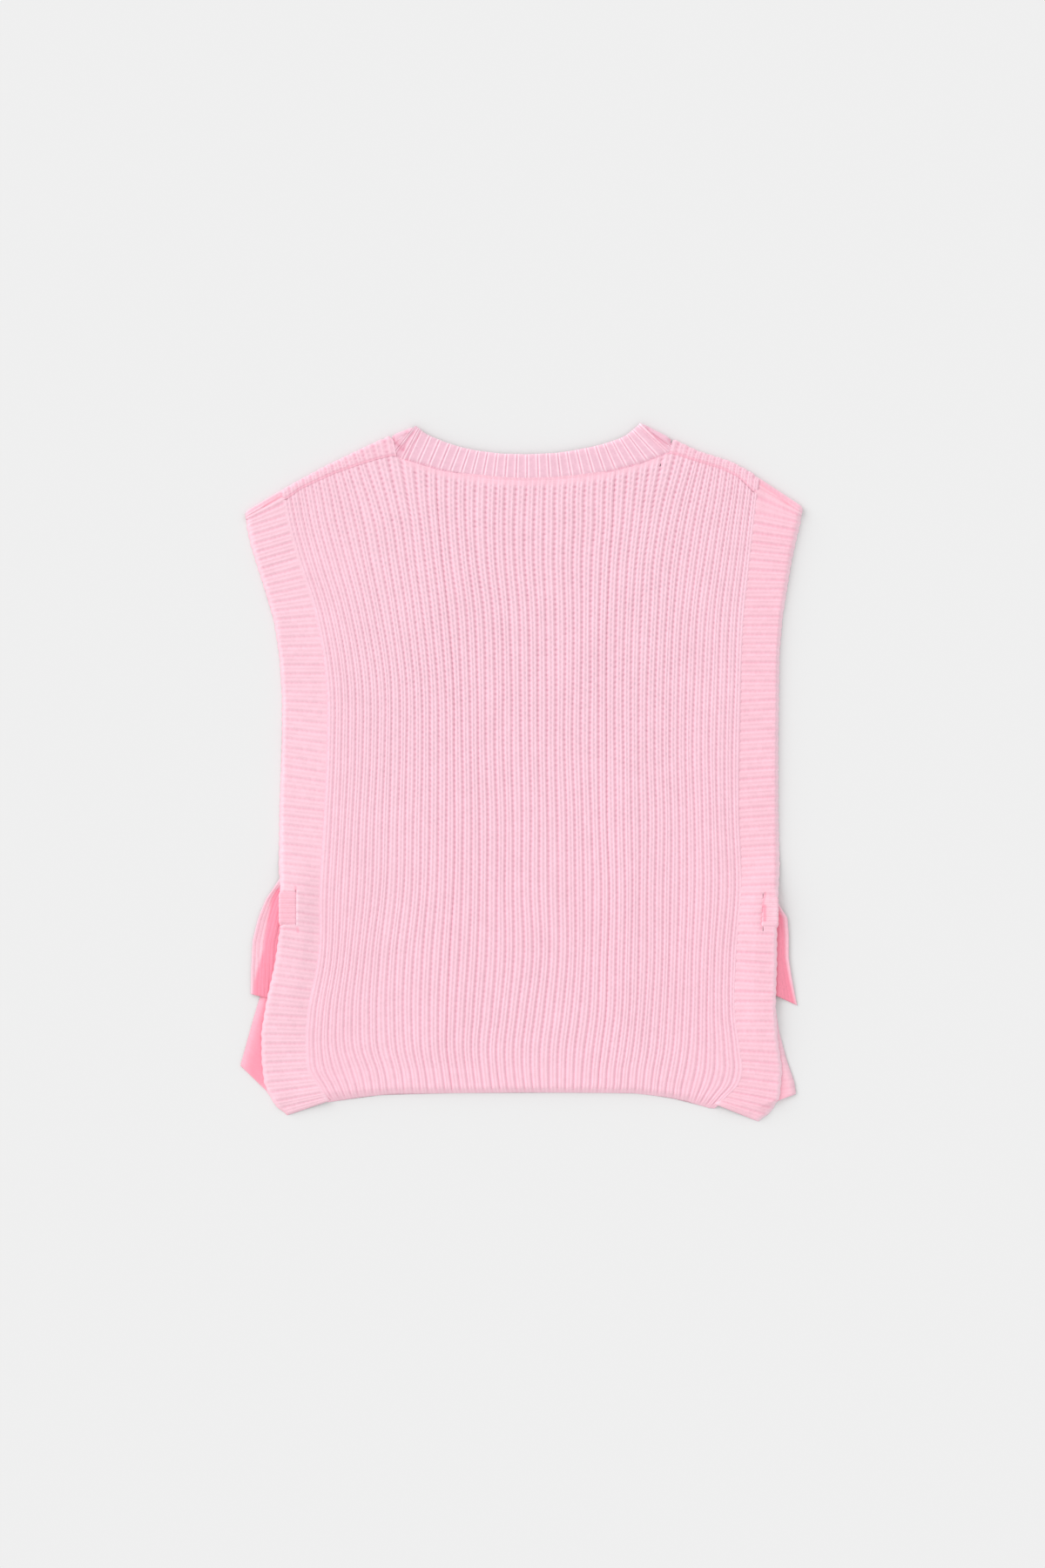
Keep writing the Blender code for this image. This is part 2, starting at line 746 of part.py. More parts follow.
def strap_pass_path(side):
    """Inner line of the strap's pass, distance from the middle and height, with outward normals."""
    slit_x, edge_x = SLIT_X[side], STRAP_PASS_EDGE_X[side]
    wall = STRAP_WALL + STRAP_RIB_RISE
    low = BACK_LEVEL + wall + LAYER_GAP + wall
    high = BACK_LEVEL + TRIM_RISES[side][3][1] + TRIM_WALL + TRIM_RIB_RISE + LAYER_GAP
    radius = (high - low) / 2
    middle = (high + low) / 2
    bend = STRAP_BEND_RADIUS
    path = [((slit_x + wall / 2, low - wall), (-1.0, 0.0))]
    for step in range(STRAP_BEND_STEPS + 1):
        angle = math.pi / 2 * step / STRAP_BEND_STEPS
        x = slit_x + wall / 2 + bend - bend * math.cos(angle)
        z = high - bend + bend * math.sin(angle)
        path.append(((x, z), (-math.cos(angle), math.sin(angle))))
    for step in range(STRAP_EDGE_STEPS + 1):
        angle = math.pi * step / STRAP_EDGE_STEPS
        x = edge_x + radius * math.sin(angle)
        z = middle + radius * math.cos(angle)
        path.append(((x, z), (math.sin(angle), math.cos(angle))))
    path.append(((edge_x - STRAP_TUCK, low), (0.0, -1.0)))
    return path


def make_strap_pass(side, collection):
    """The stretch of strap that comes out of the slit, crosses the trim and goes round its edge."""
    sign = SIDES[side]
    path = strap_pass_path(side)
    columns = STRAP_RIBS * 2

    def place(i, j):
        (x, z), (normal_x, normal_z) = path[j]
        y = STRAP_PASS_MIDDLE_Y[side] + STRAP_PASS_WIDTH[side] * (i / columns - 0.5)
        wall = STRAP_WALL + STRAP_RIB_RISE * (i % 2)
        inside = (sign * x, y, z)
        outside = (sign * (x + normal_x * wall), y, z + normal_z * wall)
        return inside, outside

    material = new_material(f"strap_{side}_pass_knit", STRAP_PINK)
    size = (columns, len(path) - 1)
    return make_wall(f"strap_{side}_pass", size, place, material, collection)


def front_trim_edge(side, y):
    """Outer edge of the front trim at a height."""
    corners = FRONT_TRIM_CORNERS[side]
    heights = [corner[1] for corner in corners]
    edges = [corner[0] for corner in corners]
    upper = [row for row in BACK_TRIMS[side] if row[2] > heights[-1] + 1]
    heights += [row[2] for row in upper]
    edges += [row[1] - SIDES[side] * FRONT_TRIM_INSET for row in upper]
    return np.interp(y, heights, edges)


def make_strap_end(side, collection):
    """The hanging end of a strap, between the layers, drooping past the front trim's edge."""
    sign = SIDES[side]
    table = STRAP_ENDS[side]

    def place(i, j):
        outer_x, outer_y, inner_x, inner_y = table[j]
        share = i / STRAP_END_COLUMNS
        x = outer_x + (inner_x - outer_x) * share
        y = outer_y + (inner_y - outer_y) * share
        beyond = sign * (x - front_trim_edge(side, y)) - STRAP_DROOP_START
        level = BACK_LEVEL - (BACK_LEVEL - LAYER_GAP) * smooth_step(beyond / STRAP_DROOP_RUN)
        wall = STRAP_WALL + STRAP_RIB_RISE * (i % 2)
        return (x, y, level), (x, y, level + wall)

    material = new_material(f"strap_{side}_end_knit", STRAP_PINK)
    size = (STRAP_END_COLUMNS, len(table) - 1)
    return make_wall(f"strap_{side}_end", size, place, material, collection)


def main():
    """Clear the scene and make every piece of the vest."""
    for item in list(bpy.data.objects):
        bpy.data.objects.remove(item, do_unlink=True)
    collection = bpy.data.collections.new(COLLECTION)
    bpy.context.scene.collection.children.link(collection)
    make_back_panel(collection)
    make_front_panel(collection)
    make_neckband(collection)
    for side in SIDES:
        make_trim(side, collection)
        make_strap_pass(side, collection)
        make_strap_end(side, collection)


main()
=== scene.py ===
"""Looks of a knitted sweater vest that lies flat with its back up.

The frame gives the solids of the vest, and every piece here is knit that takes a solid's place. A
piece is a closed sheet: its outer face is fine enough to carry the ribs and the stitches, its inner
face is coarser, and its edges are rounded. The outer edges of each sheet are cut from its own solid,
so the knit keeps the solid's size and place. The seams between the back and its trims follow the
lines of the ribs instead.

Lengths are in millimetres until a mesh is made. X runs across the vest, +Y to the neck, +Z up.
"""

import logging
import math
from dataclasses import dataclass, field
from enum import Enum
from functools import reduce
from typing import Callable, NamedTuple

import bpy
import numpy as np
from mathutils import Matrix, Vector

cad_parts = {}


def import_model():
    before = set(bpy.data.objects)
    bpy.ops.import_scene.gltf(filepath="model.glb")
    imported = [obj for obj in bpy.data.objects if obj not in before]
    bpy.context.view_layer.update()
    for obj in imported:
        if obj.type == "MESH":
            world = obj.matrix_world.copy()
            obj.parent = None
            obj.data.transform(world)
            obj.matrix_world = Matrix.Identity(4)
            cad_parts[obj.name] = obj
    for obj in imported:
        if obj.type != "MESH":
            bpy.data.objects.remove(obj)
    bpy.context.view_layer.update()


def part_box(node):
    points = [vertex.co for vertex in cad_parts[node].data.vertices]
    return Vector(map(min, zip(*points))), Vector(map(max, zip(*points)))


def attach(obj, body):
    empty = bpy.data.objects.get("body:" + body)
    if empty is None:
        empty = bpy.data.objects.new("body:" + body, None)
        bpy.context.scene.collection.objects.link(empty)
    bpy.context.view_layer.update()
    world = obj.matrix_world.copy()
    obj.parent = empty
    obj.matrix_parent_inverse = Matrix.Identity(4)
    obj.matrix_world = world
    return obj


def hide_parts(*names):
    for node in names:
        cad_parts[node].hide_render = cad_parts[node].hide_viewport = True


MM = 0.001
ROOT_BODY = "root"

# What a sheet's points tell its finish: painted shade, smooth knit, and ribs that stand apart.
MARKS = ("painted_shade", "plain", "spread")

# Where the coarser ribs have their columns of points, and how near two columns may come.
SIX_TO_A_RIB = (0.0, 0.17, 0.34, 0.5, 0.66, 0.83)
LEAST_STEP = 0.02

UP = (0.0, 0.0, 1.0)
DOWN = (0.0, 0.0, -1.0)

# How far inside its edge a sheet's last row counts as lying, so that it keeps some thickness: on
# its outer face, and on its inner one.
EDGE = 0.1
INNER_EDGE = 0.15

log = logging.getLogger("sweater_vest")

Array = np.ndarray
Socket = bpy.types.NodeSocket
Colour = tuple[float, float, float]
Table = tuple[tuple[float, float], ...]


class Side(Enum):
    """A side of the vest as it lies, with the sign of its X."""

    LEFT = -1
    RIGHT = 1

    @property
    def word(self) -> str:
        """The side's word in the names of pieces."""
        return self.name.lower()


class Slot(Enum):
    """The record's material slots."""

    BODY = "body_knit"
    TRIM = "trim_knit"
    STRAP = "strap_knit"


def ease(value: Array) -> Array:
    """0 below 0, 1 above 1 and an even curve between."""
    value = np.clip(value, 0.0, 1.0)
    return value * value * (3 - 2 * value)


def away(distance: Array, reach: float) -> Array:
    """0 nearer than half of a reach, 1 past the whole of it and an even curve between."""
    return ease((distance - reach * 0.5) / (reach * 0.5))


def bell(distance: Array, width: float | Array) -> Array:
    """1 where a distance is 0, falling off on both sides over a width."""
    return np.exp(-((distance / width) ** 2))


def wave(turns: Array) -> Array:
    """1 at whole turns, 0 halfway between them and an even swing from one to the other."""
    return 0.5 + 0.5 * np.cos(2 * math.pi * turns)


def read_table(table: Table, at: Array) -> Array:
    """Second column of a table at places in its first one."""
    return np.interp(at, *np.array(table).T)


def walked_along(points: Array) -> Array:
    """How far each of a row of points lies along the row."""
    return np.concatenate([[0.0], np.cumsum(np.linalg.norm(np.diff(points, axis=0), axis=-1))])


def shares(steps: int) -> Array:
    """Shares from 0 to 1 in even steps."""
    return np.linspace(0.0, 1.0, steps + 1)


def rounding(distance: Array, radius: float) -> Array:
    """Share of its full height that an edge of cloth has at a distance from its rim."""
    inward = np.clip(distance / radius, 0.0, 1.0)
    return np.sqrt(1 - (1 - inward) ** 2)


def rim(distance: Array, reach: float) -> Array:
    """Share of its full height that a soft rim of cloth has at a distance from its edge."""
    return 2 * ease(0.5 + 0.5 * np.clip(distance / reach, 0.0, 1.0)) - 1


def blend_points(start: Array, end: Array, share: Array) -> Array:
    """Points between two others, by share."""
    return start + (end - start) * share[..., None]


def pick(table: Array, number: Array) -> Array:
    """Values with numbers, from one row or from as many rows as there are numbers."""
    return table[number] if table.ndim == 1 else table[np.arange(len(number)), number]


def smooth_curve(knots: Array, values: Array, at: Array) -> Array:
    """Smooth curve through values at knots, which goes straight on beyond them.

    Args:
        knots: Where the values are, rising.
        values: One row of values, or one row for each place.
        at: The places.

    Returns:
        The curve's values.
    """
    slopes = np.gradient(values, knots, axis=-1)
    index = np.clip(np.searchsorted(knots, at) - 1, 0, len(knots) - 2)

    span = knots[index + 1] - knots[index]
    share = np.clip((at - knots[index]) / span, 0.0, 1.0)
    first, second = pick(values, index), pick(values, index + 1)
    leave, reach = pick(slopes, index) * span, pick(slopes, index + 1) * span
    curve = first + (second - first) * ease(share)
    curve = curve + leave * share * (1 - share) ** 2 - reach * share ** 2 * (1 - share)
    past = at - np.clip(at, knots[0], knots[-1])
    return curve + past * np.where(past < 0, slopes[..., 0], slopes[..., -1])


# -------- plan of the solids


def mesh_points(mesh: bpy.types.Mesh) -> Array:
    """Read the points of a mesh.

    Args:
        mesh: The mesh.

    Returns:
        One row for each point, in metres.
    """
    points = np.empty(len(mesh.vertices) * 3, np.float32)
    mesh.vertices.foreach_get("co", points)
    return points.reshape(-1, 3).astype(float)


class Outline:
    """Plan of one solid of the frame, found by cutting its edges with straight lines."""

    def __init__(self, node: str, lowest: float = -1.0, highest: float = 99.0) -> None:
        """Keep the edges of a solid whose ends both lie between two levels.

        Args:
            node: Name of the solid.
            lowest: Level of the lowest edges to keep.
            highest: Level of the highest ones.
        """
        mesh = bpy.data.objects[node].data
        points = mesh_points(mesh) / MM
        edges = np.empty(len(mesh.edges) * 2, np.int32)
        mesh.edges.foreach_get("vertices", edges)
        edges = edges.reshape(-1, 2)
        inside = (points[:, 2] >= lowest) & (points[:, 2] <= highest)
        edges = edges[inside[edges].all(axis=1)]
        self.starts = points[edges[:, 0], :2]
        self.ends = points[edges[:, 1], :2]

    def cuts(self, origin: tuple[float, float], direction: tuple[float, float]) -> Array:
        """Distances along a line at which it crosses the solid's edges.

        Args:
            origin: A point of the line.
            direction: Its unit direction.

        Returns:
            The distances from the origin, in no order.
        """
        normal = np.array((-direction[1], direction[0]))
        first = (self.starts - origin) @ normal
        second = (self.ends - origin) @ normal
        crossing = (first * second <= 0) & (first != second)
        first, second = first[crossing], second[crossing]
        share = (first / (first - second))[:, None]
        points = self.starts[crossing] * (1 - share) + self.ends[crossing] * share
        return (points - origin) @ np.array(direction)

    @property
    def points(self) -> Array:
        """All ends of the edges."""
        return np.concatenate([self.starts, self.ends])

    def corner(self, toward_x: float, toward_y: float) -> Array:
        """The point of the plan that lies furthest in a direction."""
        return self.points[np.argmax(self.points @ np.array((toward_x, toward_y)))]

    def edge(self, at: Array, upright: bool, furthest: bool) -> Array:
        """Places of one edge of the plan.

        Args:
            at: Heights of level cuts, or places of upright ones.
            upright: Whether the cuts run along Y.
            furthest: Whether to take the last crossing and not the first.

        Returns:
            X of the edge for level cuts, and Y for upright ones.
        """
        pick = np.max if furthest else np.min
        found = []
        for value in at:
            origin = (value, 0.0) if upright else (0.0, value)
            found.append(pick(self.cuts(origin, (0.0, 1.0) if upright else (1.0, 0.0))))
        return np.array(found)


def highest(outlines: tuple[Outline, ...], x: float) -> float:
    """Height of the highest edge of one or more plans at a place across."""
    return float(np.concatenate([outline.cuts((x, 0.0), (0.0, 1.0)) for outline in outlines]).max())


@dataclass
class PlanShape:
    """A four-cornered plan with curved edges, read by shares across and along it.

    Its high corners are the points furthest to the side and up, where up counts corner_rise times.
    """

    outline: Outline
    corner_rise: float = 1.0
    samples: int = 160
    margin: float = 0.02

    def __post_init__(self) -> None:
        """Find the corners and sample the four edges."""
        self.low_left = self.outline.corner(-1, -1)
        self.low_right = self.outline.corner(1, -1)
        self.high_left = self.outline.corner(-1, self.corner_rise)
        self.high_right = self.outline.corner(1, self.corner_rise)
        self.left = self._sample(self.low_left, self.high_left, False, False)
        self.right = self._sample(self.low_right, self.high_right, False, True)
        self.low = self._sample(self.low_left, self.low_right, True, False)
        self.high = self._sample(self.high_left, self.high_right, True, True)

    def _sample(self, first: Array, last: Array, upright: bool, furthest: bool) -> tuple[Array, Array]:
        """Sample an edge by cuts across it.

        Args:
            first: Its low or left corner.
            last: Its high or right corner.
            upright: Whether the cuts run along Y.
            furthest: Whether it is the right or the high edge.

        Returns:
            Where the cuts are, and the edge's places on them.
        """
        known, found = (0, 1) if upright else (1, 0)
        at = np.linspace(first[known] + self.margin, last[known] - self.margin, self.samples)
        places = self.outline.edge(at, upright, furthest)
        places[0], places[-1] = first[found], last[found]
        return at, places

    def at(self, across: Array, along: Array) -> Array:
        """Points of the plan.

        Args:
            across: Shares from the left edge to the right one, for the columns.
            along: Shares from the low end to the high one, for the rows.

        Returns:
            Rows by columns by two.
        """
        low_x = self.low_left[0] + (self.low_right[0] - self.low_left[0]) * across
        high_x = self.high_left[0] + (self.high_right[0] - self.high_left[0]) * across
        low_y, high_y = np.interp(low_x, *self.low), np.interp(high_x, *self.high)
        y = low_y + (high_y - low_y) * along[:, None]
        start, end = self._between(across, low_y), self._between(across, high_y)
        x = self._between(across, y)
        x = x + (low_x - start) * (1 - along[:, None]) ** 4 + (high_x - end) * along[:, None] ** 4
        return np.stack([x, y], axis=-1)

    def _between(self, across: Array, y: Array) -> Array:
        """Places between the side edges at heights."""
        left, right = np.interp(y, *self.left), np.interp(y, *self.right)
        return left + (right - left) * across


def level_under(node: str, points: Array, start: float) -> Array:
    """Level of a solid's underside over plan points.

    Args:
        node: Name of the solid.
        points: Plan points, in a list.
        start: Level to look up from.

    Returns:
        The levels, and not-a-number where the solid isn't overhead.
    """
    solid = bpy.data.objects[node]
    levels = np.full(len(points), np.nan)
    for number, (x, y) in enumerate(points):
        hit, place, _, _ = solid.ray_cast(Vector((x, y, start)) * MM, Vector((0, 0, 1)))
        if hit:
            levels[number] = place.z / MM
    return levels


# -------- knit and cloth


@dataclass(frozen=True)
class RibKnit:
    """Relief of a rib knit, by ribs across and stitches along. Shares are of a rib's pitch."""

    rise: float = 1.12
    groove_share: float = 0.17
    zigzag: float = 0.45
    leg_at: float = 0.2
    leg_spread: float = 0.07
    leg_width: float = 0.09
    leg_share: float = 0.26
    bead_share: float = 0.35
    heart_share: float = 0.16
    heart_width: float = 0.09
    purl_share: float = 0.2
    purl_width: float = 0.1
    groove_turn: float = 0.15
    heart_turn: float = 0.65
    slack_rise: float = 0.5

    def relief(self, ribs: Array, stitches: Array, plain: Array | float = 0.0,
               spread: Array | float = 1.0) -> Array:
        """Height of the knit over its grooves.

        Args:
            ribs: Ribs from the first groove.
            stitches: Stitches from the first row.
            plain: 1 where the ribs are smooth and the stitches don't show.
            spread: 1 where the ribs stand well apart, 0 where they close up.

        Returns:
            Heights in millimetres, up to the knit's rise.
        """
        across = np.abs(ribs % 1.0 - 0.5)
        along = stitches % 1.0
        show = 1 - np.asarray(plain)
        spread = np.asarray(spread)
        gap = 0.5 - across
        in_groove = wave(along - self.groove_turn)
        in_heart = wave(along - self.heart_turn)
        groove = self.groove_share * (0.6 + 0.4 * spread) * (1 + self.zigzag * in_groove * show)
        body = ease(gap / groove)
        leg_at = self.leg_at + self.leg_spread * (along - 0.5) * show
        leg = bell(across - leg_at, self.leg_width)
        bead = 1 - self.bead_share * in_groove * show
        heart = self.heart_share * bell(across, self.heart_width) * in_heart * show
        purl = self.purl_share * bell(gap, self.purl_width) * (1 - in_groove) * show
        height = body * (1 - self.leg_share + self.leg_share * leg * bead - heart) + purl
        return self.rise * (self.slack_rise + (1 - self.slack_rise) * spread) * height


@dataclass(frozen=True)
class Crease:
    """A soft ridge or trough along a line of the plan."""

    line: tuple[tuple[float, float], ...]
    width: float
    height: float
    # Painted shade along the line; below 0 it is a painted highlight.
    shade: float = 0.0

    def share(self, points: Array) -> Array:
        """1 on the crease's line, falling off beside it.

        Args:
            points: Plan points.

        Returns:
            Shares, one for each point.
        """
        nearest = np.full(points.shape[:-1], np.inf)
        for start, end in zip(np.array(self.line), np.array(self.line[1:])):
            run = end - start
            along = np.clip(((points - start) @ run) / (run @ run), 0.0, 1.0)
            away = np.linalg.norm(points - (start + along[..., None] * run), axis=-1)
            nearest = np.minimum(nearest, away)
        return bell(nearest, self.width)


def raising(creases: tuple[Crease, ...], points: Array) -> Array:
    """How far creases lift plan points."""
    return sum((crease.height * crease.share(points) for crease in creases), np.zeros(points.shape[:-1]))


def shading(creases: tuple[Crease, ...], points: Array) -> Array:
    """How deep in painted shade creases put plan points."""
    return sum((crease.shade * crease.share(points) for crease in creases), np.zeros(points.shape[:-1]))


@dataclass
class KnitSheet:
    """A closed sheet of knit, from rows and columns of points of its inner face.

    The outer face stands off from it by height, along outward. Ribs and stitches are counted over
    the knit. The slit is a column, and the rows where it starts and ends.
    """

    name: str
    inner: Array
    outward: Array
    height: Array
    ribs: Array
    stitches: Array
    marks: dict[str, Array] = field(default_factory=dict)
    inner_dent: Array | None = None
    inner_step: int = 10
    slit: tuple[int, int, int] | None = None

    def inner_columns(self) -> Array:
        """Pick the columns that the coarser inner face keeps.

        Returns:
            Their numbers.
        """
        count = self.height.shape[1]
        kept = set(range(0, count, self.inner_step)) | {count - 1}
        if self.slit:
            kept |= {self.slit[0], self.slit[0] + 1}
        return np.array(sorted(kept))

    def faces(self, index: Array, columns: Array) -> list[list[int]]:
        """Quads round the sheet, the walls of its slit and its two ends.

        Args:
            index: Numbers of the points, rows by places round the sheet.
            columns: Columns of the inner face.

        Returns:
            Faces as lists of point numbers.
        """
        count = self.height.shape[1]
        after = np.roll(index, -1, axis=1)
        quads = np.stack([index[:-1], after[:-1], after[1:], index[1:]], axis=-1)
        keep = np.ones(quads.shape[:2], bool)
        walls = []
        if self.slit:
            column, first, last = self.slit
            inner = index[:, count:][:, ::-1]
            left, right = np.searchsorted(columns, [column, column + 1])
            keep[first:last, column] = False
            keep[first:last, index.shape[1] - 1 - right] = False
            for row in range(first, last):
                walls.append([index[row, column], inner[row, left],
                              inner[row + 1, left], index[row + 1, column]])
                walls.append([index[row, column + 1], index[row + 1, column + 1],
                              inner[row + 1, right], inner[row, right]])
            walls.append([index[first, column], index[first, column + 1],
                          inner[first, right], inner[first, left]])
            walls.append([index[last, column], inner[last, left],
                          inner[last, right], index[last, column + 1]])
        ends = [index[0, ::-1].tolist(), index[-1].tolist()]
        return quads[keep].tolist() + [[int(i) for i in wall] for wall in walls] + ends

    def build(self) -> bpy.types.Object:
        """Make the sheet's mesh, with its knit coordinates and its marks.

        Returns:
            The finished piece, at the origin.
        """
        columns = self.inner_columns()
        dent = np.zeros_like(self.height) if self.inner_dent is None else self.inner_dent
        outer = self.inner + self.outward * self.height[..., None]
        under = self.inner + self.outward * dent[..., None]
        place = np.concatenate([np.arange(self.height.shape[1]), columns[::-1]])
        points = np.concatenate([outer, under[:, columns[::-1]]], axis=1)
        index = np.arange(points.shape[0] * points.shape[1]).reshape(points.shape[:2])
        mesh = bpy.data.meshes.new(self.name)
        mesh.from_pydata((points.reshape(-1, 3) * MM).tolist(), [], self.faces(index, columns))
        self._coordinates(mesh, place)
        for mark in MARKS:
            values = np.broadcast_to(self.marks.get(mark, 0.0), self.height.shape)
            layer = mesh.attributes.new(mark, "FLOAT", "POINT")
            layer.data.foreach_set("value", values[:, place].ravel().astype(np.float32))
        mesh.shade_smooth()
        if self._volume(mesh) < 0:
            mesh.flip_normals()
        piece = bpy.data.objects.new(self.name, mesh)
        bpy.context.scene.collection.objects.link(piece)
        return piece

    def _coordinates(self, mesh: bpy.types.Mesh, place: Array) -> None:
        """Give the mesh its map of ribs and stitches.

        Args:
            mesh: The sheet's mesh.
            place: The column of each point of a row, round the sheet.
        """
        knit = np.stack([self.ribs[:, place], self.stitches[:, place]], axis=-1).reshape(-1, 2)
        corners = np.empty(len(mesh.loops), np.int32)
        mesh.loops.foreach_get("vertex_index", corners)
        layer = mesh.uv_layers.new(name="knit")
        layer.data.foreach_set("uv", knit[corners].astype(np.float32).ravel())

    @staticmethod
    def _volume(mesh: bpy.types.Mesh) -> float:
        """Work out the signed volume of a mesh.

        Args:
            mesh: A closed mesh.

        Returns:
            The volume, below zero when the mesh is inside out.
        """
        mesh.calc_loop_triangles()
        triangles = np.empty(len(mesh.loop_triangles) * 3, np.int32)
        mesh.loop_triangles.foreach_get("vertices", triangles)
        corners = mesh_points(mesh)[triangles].reshape(-1, 3, 3)
        first, second, third = corners.transpose(1, 0, 2)
        return float((first * np.cross(second, third)).sum() / 6)


# -------- finishes


class Wiring:
    """Makes the nodes of one material and joins them."""

    def __init__(self, material: bpy.types.Material) -> None:
        """Start from the material's shader.

        Args:
            material: The material.
        """
        material.use_nodes = True
        self.tree = material.node_tree
        self.shader = self.tree.nodes["Principled BSDF"]

    def feed(self, socket: Socket, value: object) -> None:
        """Join a socket to another, or set it.

        Args:
            socket: What is fed.
            value: A socket, or a value.
        """
        if isinstance(value, Socket):
            self.tree.links.new(value, socket)
        else:
            socket.default_value = value

    def math(self, operation: str, *values: object) -> Socket:
        """Add a math node.

        Args:
            operation: What it does.
            *values: Sockets or numbers.

        Returns:
            Its result.
        """
        node = self.tree.nodes.new("ShaderNodeMath")
        node.operation = operation
        for socket, value in zip(node.inputs, values):
            self.feed(socket, value)
        return node.outputs[0]

    def product(self, *values: object) -> Socket:
        """Product of several values."""
        return reduce(lambda result, value: self.math("MULTIPLY", result, value), values)

    def hump(self, value: object, width: object) -> Socket:
        """1 where a value is 0, falling off on both sides over a width."""
        scaled = self.math("DIVIDE", value, width)
        return self.math("POWER", math.e, self.product(scaled, scaled, -1.0))

    def wave(self, along: object, turn: float) -> Socket:
        """A wave from 0 to 1 once a stitch, highest at a share of it."""
        angle = self.math("MULTIPLY", self.math("SUBTRACT", along, turn), 2 * math.pi)
        return self.math("MULTIPLY_ADD", self.math("COSINE", angle), 0.5, 0.5)

    def about_one(self, draw: object, depth: float) -> Socket:
        """A value about 1, which a draw from 0 to 1 changes by a depth."""
        return self.math("MULTIPLY_ADD", draw, depth, 1 - depth / 2)

    def mix(self, share: object, first: object, second: object) -> Socket:
        """Mix two colours.

        Args:
            share: Share of the second one.
            first: A socket or a colour.
            second: Another.

        Returns:
            The mixed colour.
        """
        node = self.tree.nodes.new("ShaderNodeMix")
        node.data_type = "RGBA"
        self.feed(node.inputs["Factor"], share)
        for name, value in (("A", first), ("B", second)):
            socket = next(s for s in node.inputs if s.name == name and s.type == "RGBA")
            self.feed(socket, (*value, 1.0) if isinstance(value, tuple) else value)
        return next(s for s in node.outputs if s.type == "RGBA")

    def attribute(self, name: str) -> Socket:
        """Read a value that the mesh carries.

        Args:
            name: Its name.

        Returns:
            The value.
        """
        node = self.tree.nodes.new("ShaderNodeAttribute")
        node.attribute_name = name
        return node.outputs["Fac"]

    def knit_map(self) -> tuple[Socket, Socket]:
        """Read the map of the knit.

        Returns:
            Ribs and stitches of the surface.
        """
        node = self.tree.nodes.new("ShaderNodeUVMap")
        node.uv_map = "knit"
        split = self.tree.nodes.new("ShaderNodeSeparateXYZ")
        self.tree.links.new(node.outputs["UV"], split.inputs[0])
        return split.outputs["X"], split.outputs["Y"]

    def chance(self, *values: object) -> Socket:
        """Draw an even share by chance.

        Args:
            *values: Up to three whole numbers.

        Returns:
            The share, the same for the same numbers.
        """
        joined = self.tree.nodes.new("ShaderNodeCombineXYZ")
        for socket, value in zip(joined.inputs, values):
            self.feed(socket, value)
        node = self.tree.nodes.new("ShaderNodeTexWhiteNoise")
        self.tree.links.new(joined.outputs[0], node.inputs["Vector"])
        return node.outputs["Value"]

    def noise(self, scale: float, detail: float = 2.0) -> Socket:
        """Add noise in the piece's own space.

        Args:
            scale: How fine it is.
            detail: How many finer layers it has.

        Returns:
            The noise, about 0.5.
        """
        where = self.tree.nodes.new("ShaderNodeTexCoord")
        node = self.tree.nodes.new("ShaderNodeTexNoise")
        node.inputs["Scale"].default_value = scale
        node.inputs["Detail"].default_value = detail
        self.tree.links.new(where.outputs["Object"], node.inputs["Vector"])
        return node.outputs["Fac"]

    def bump(self, height: object, strength: float, distance: float,
             below: Socket | None = None) -> Socket:
        """Give the surface a fine relief.

        Args:
            height: The relief.
            strength: Its strength, up to 1.
            distance: Its full height, in metres.
            below: Normal of a coarser relief.

        Returns:
            The surface's normal.
        """
        node = self.tree.nodes.new("ShaderNodeBump")
        node.inputs["Strength"].default_value = strength
        node.inputs["Distance"].default_value = distance
        self.feed(node.inputs["Height"], height)
        if below is not None:
            self.tree.links.new(below, node.inputs["Normal"])
        return node.outputs["Normal"]


class KnitPlace(NamedTuple):
    """Where on the knit a point of the surface lies, as sockets."""

    ribs: Socket
    stitches: Socket
    across: Socket
    along: Socket
    beside: Socket
    leg: Socket
    dotted: Socket


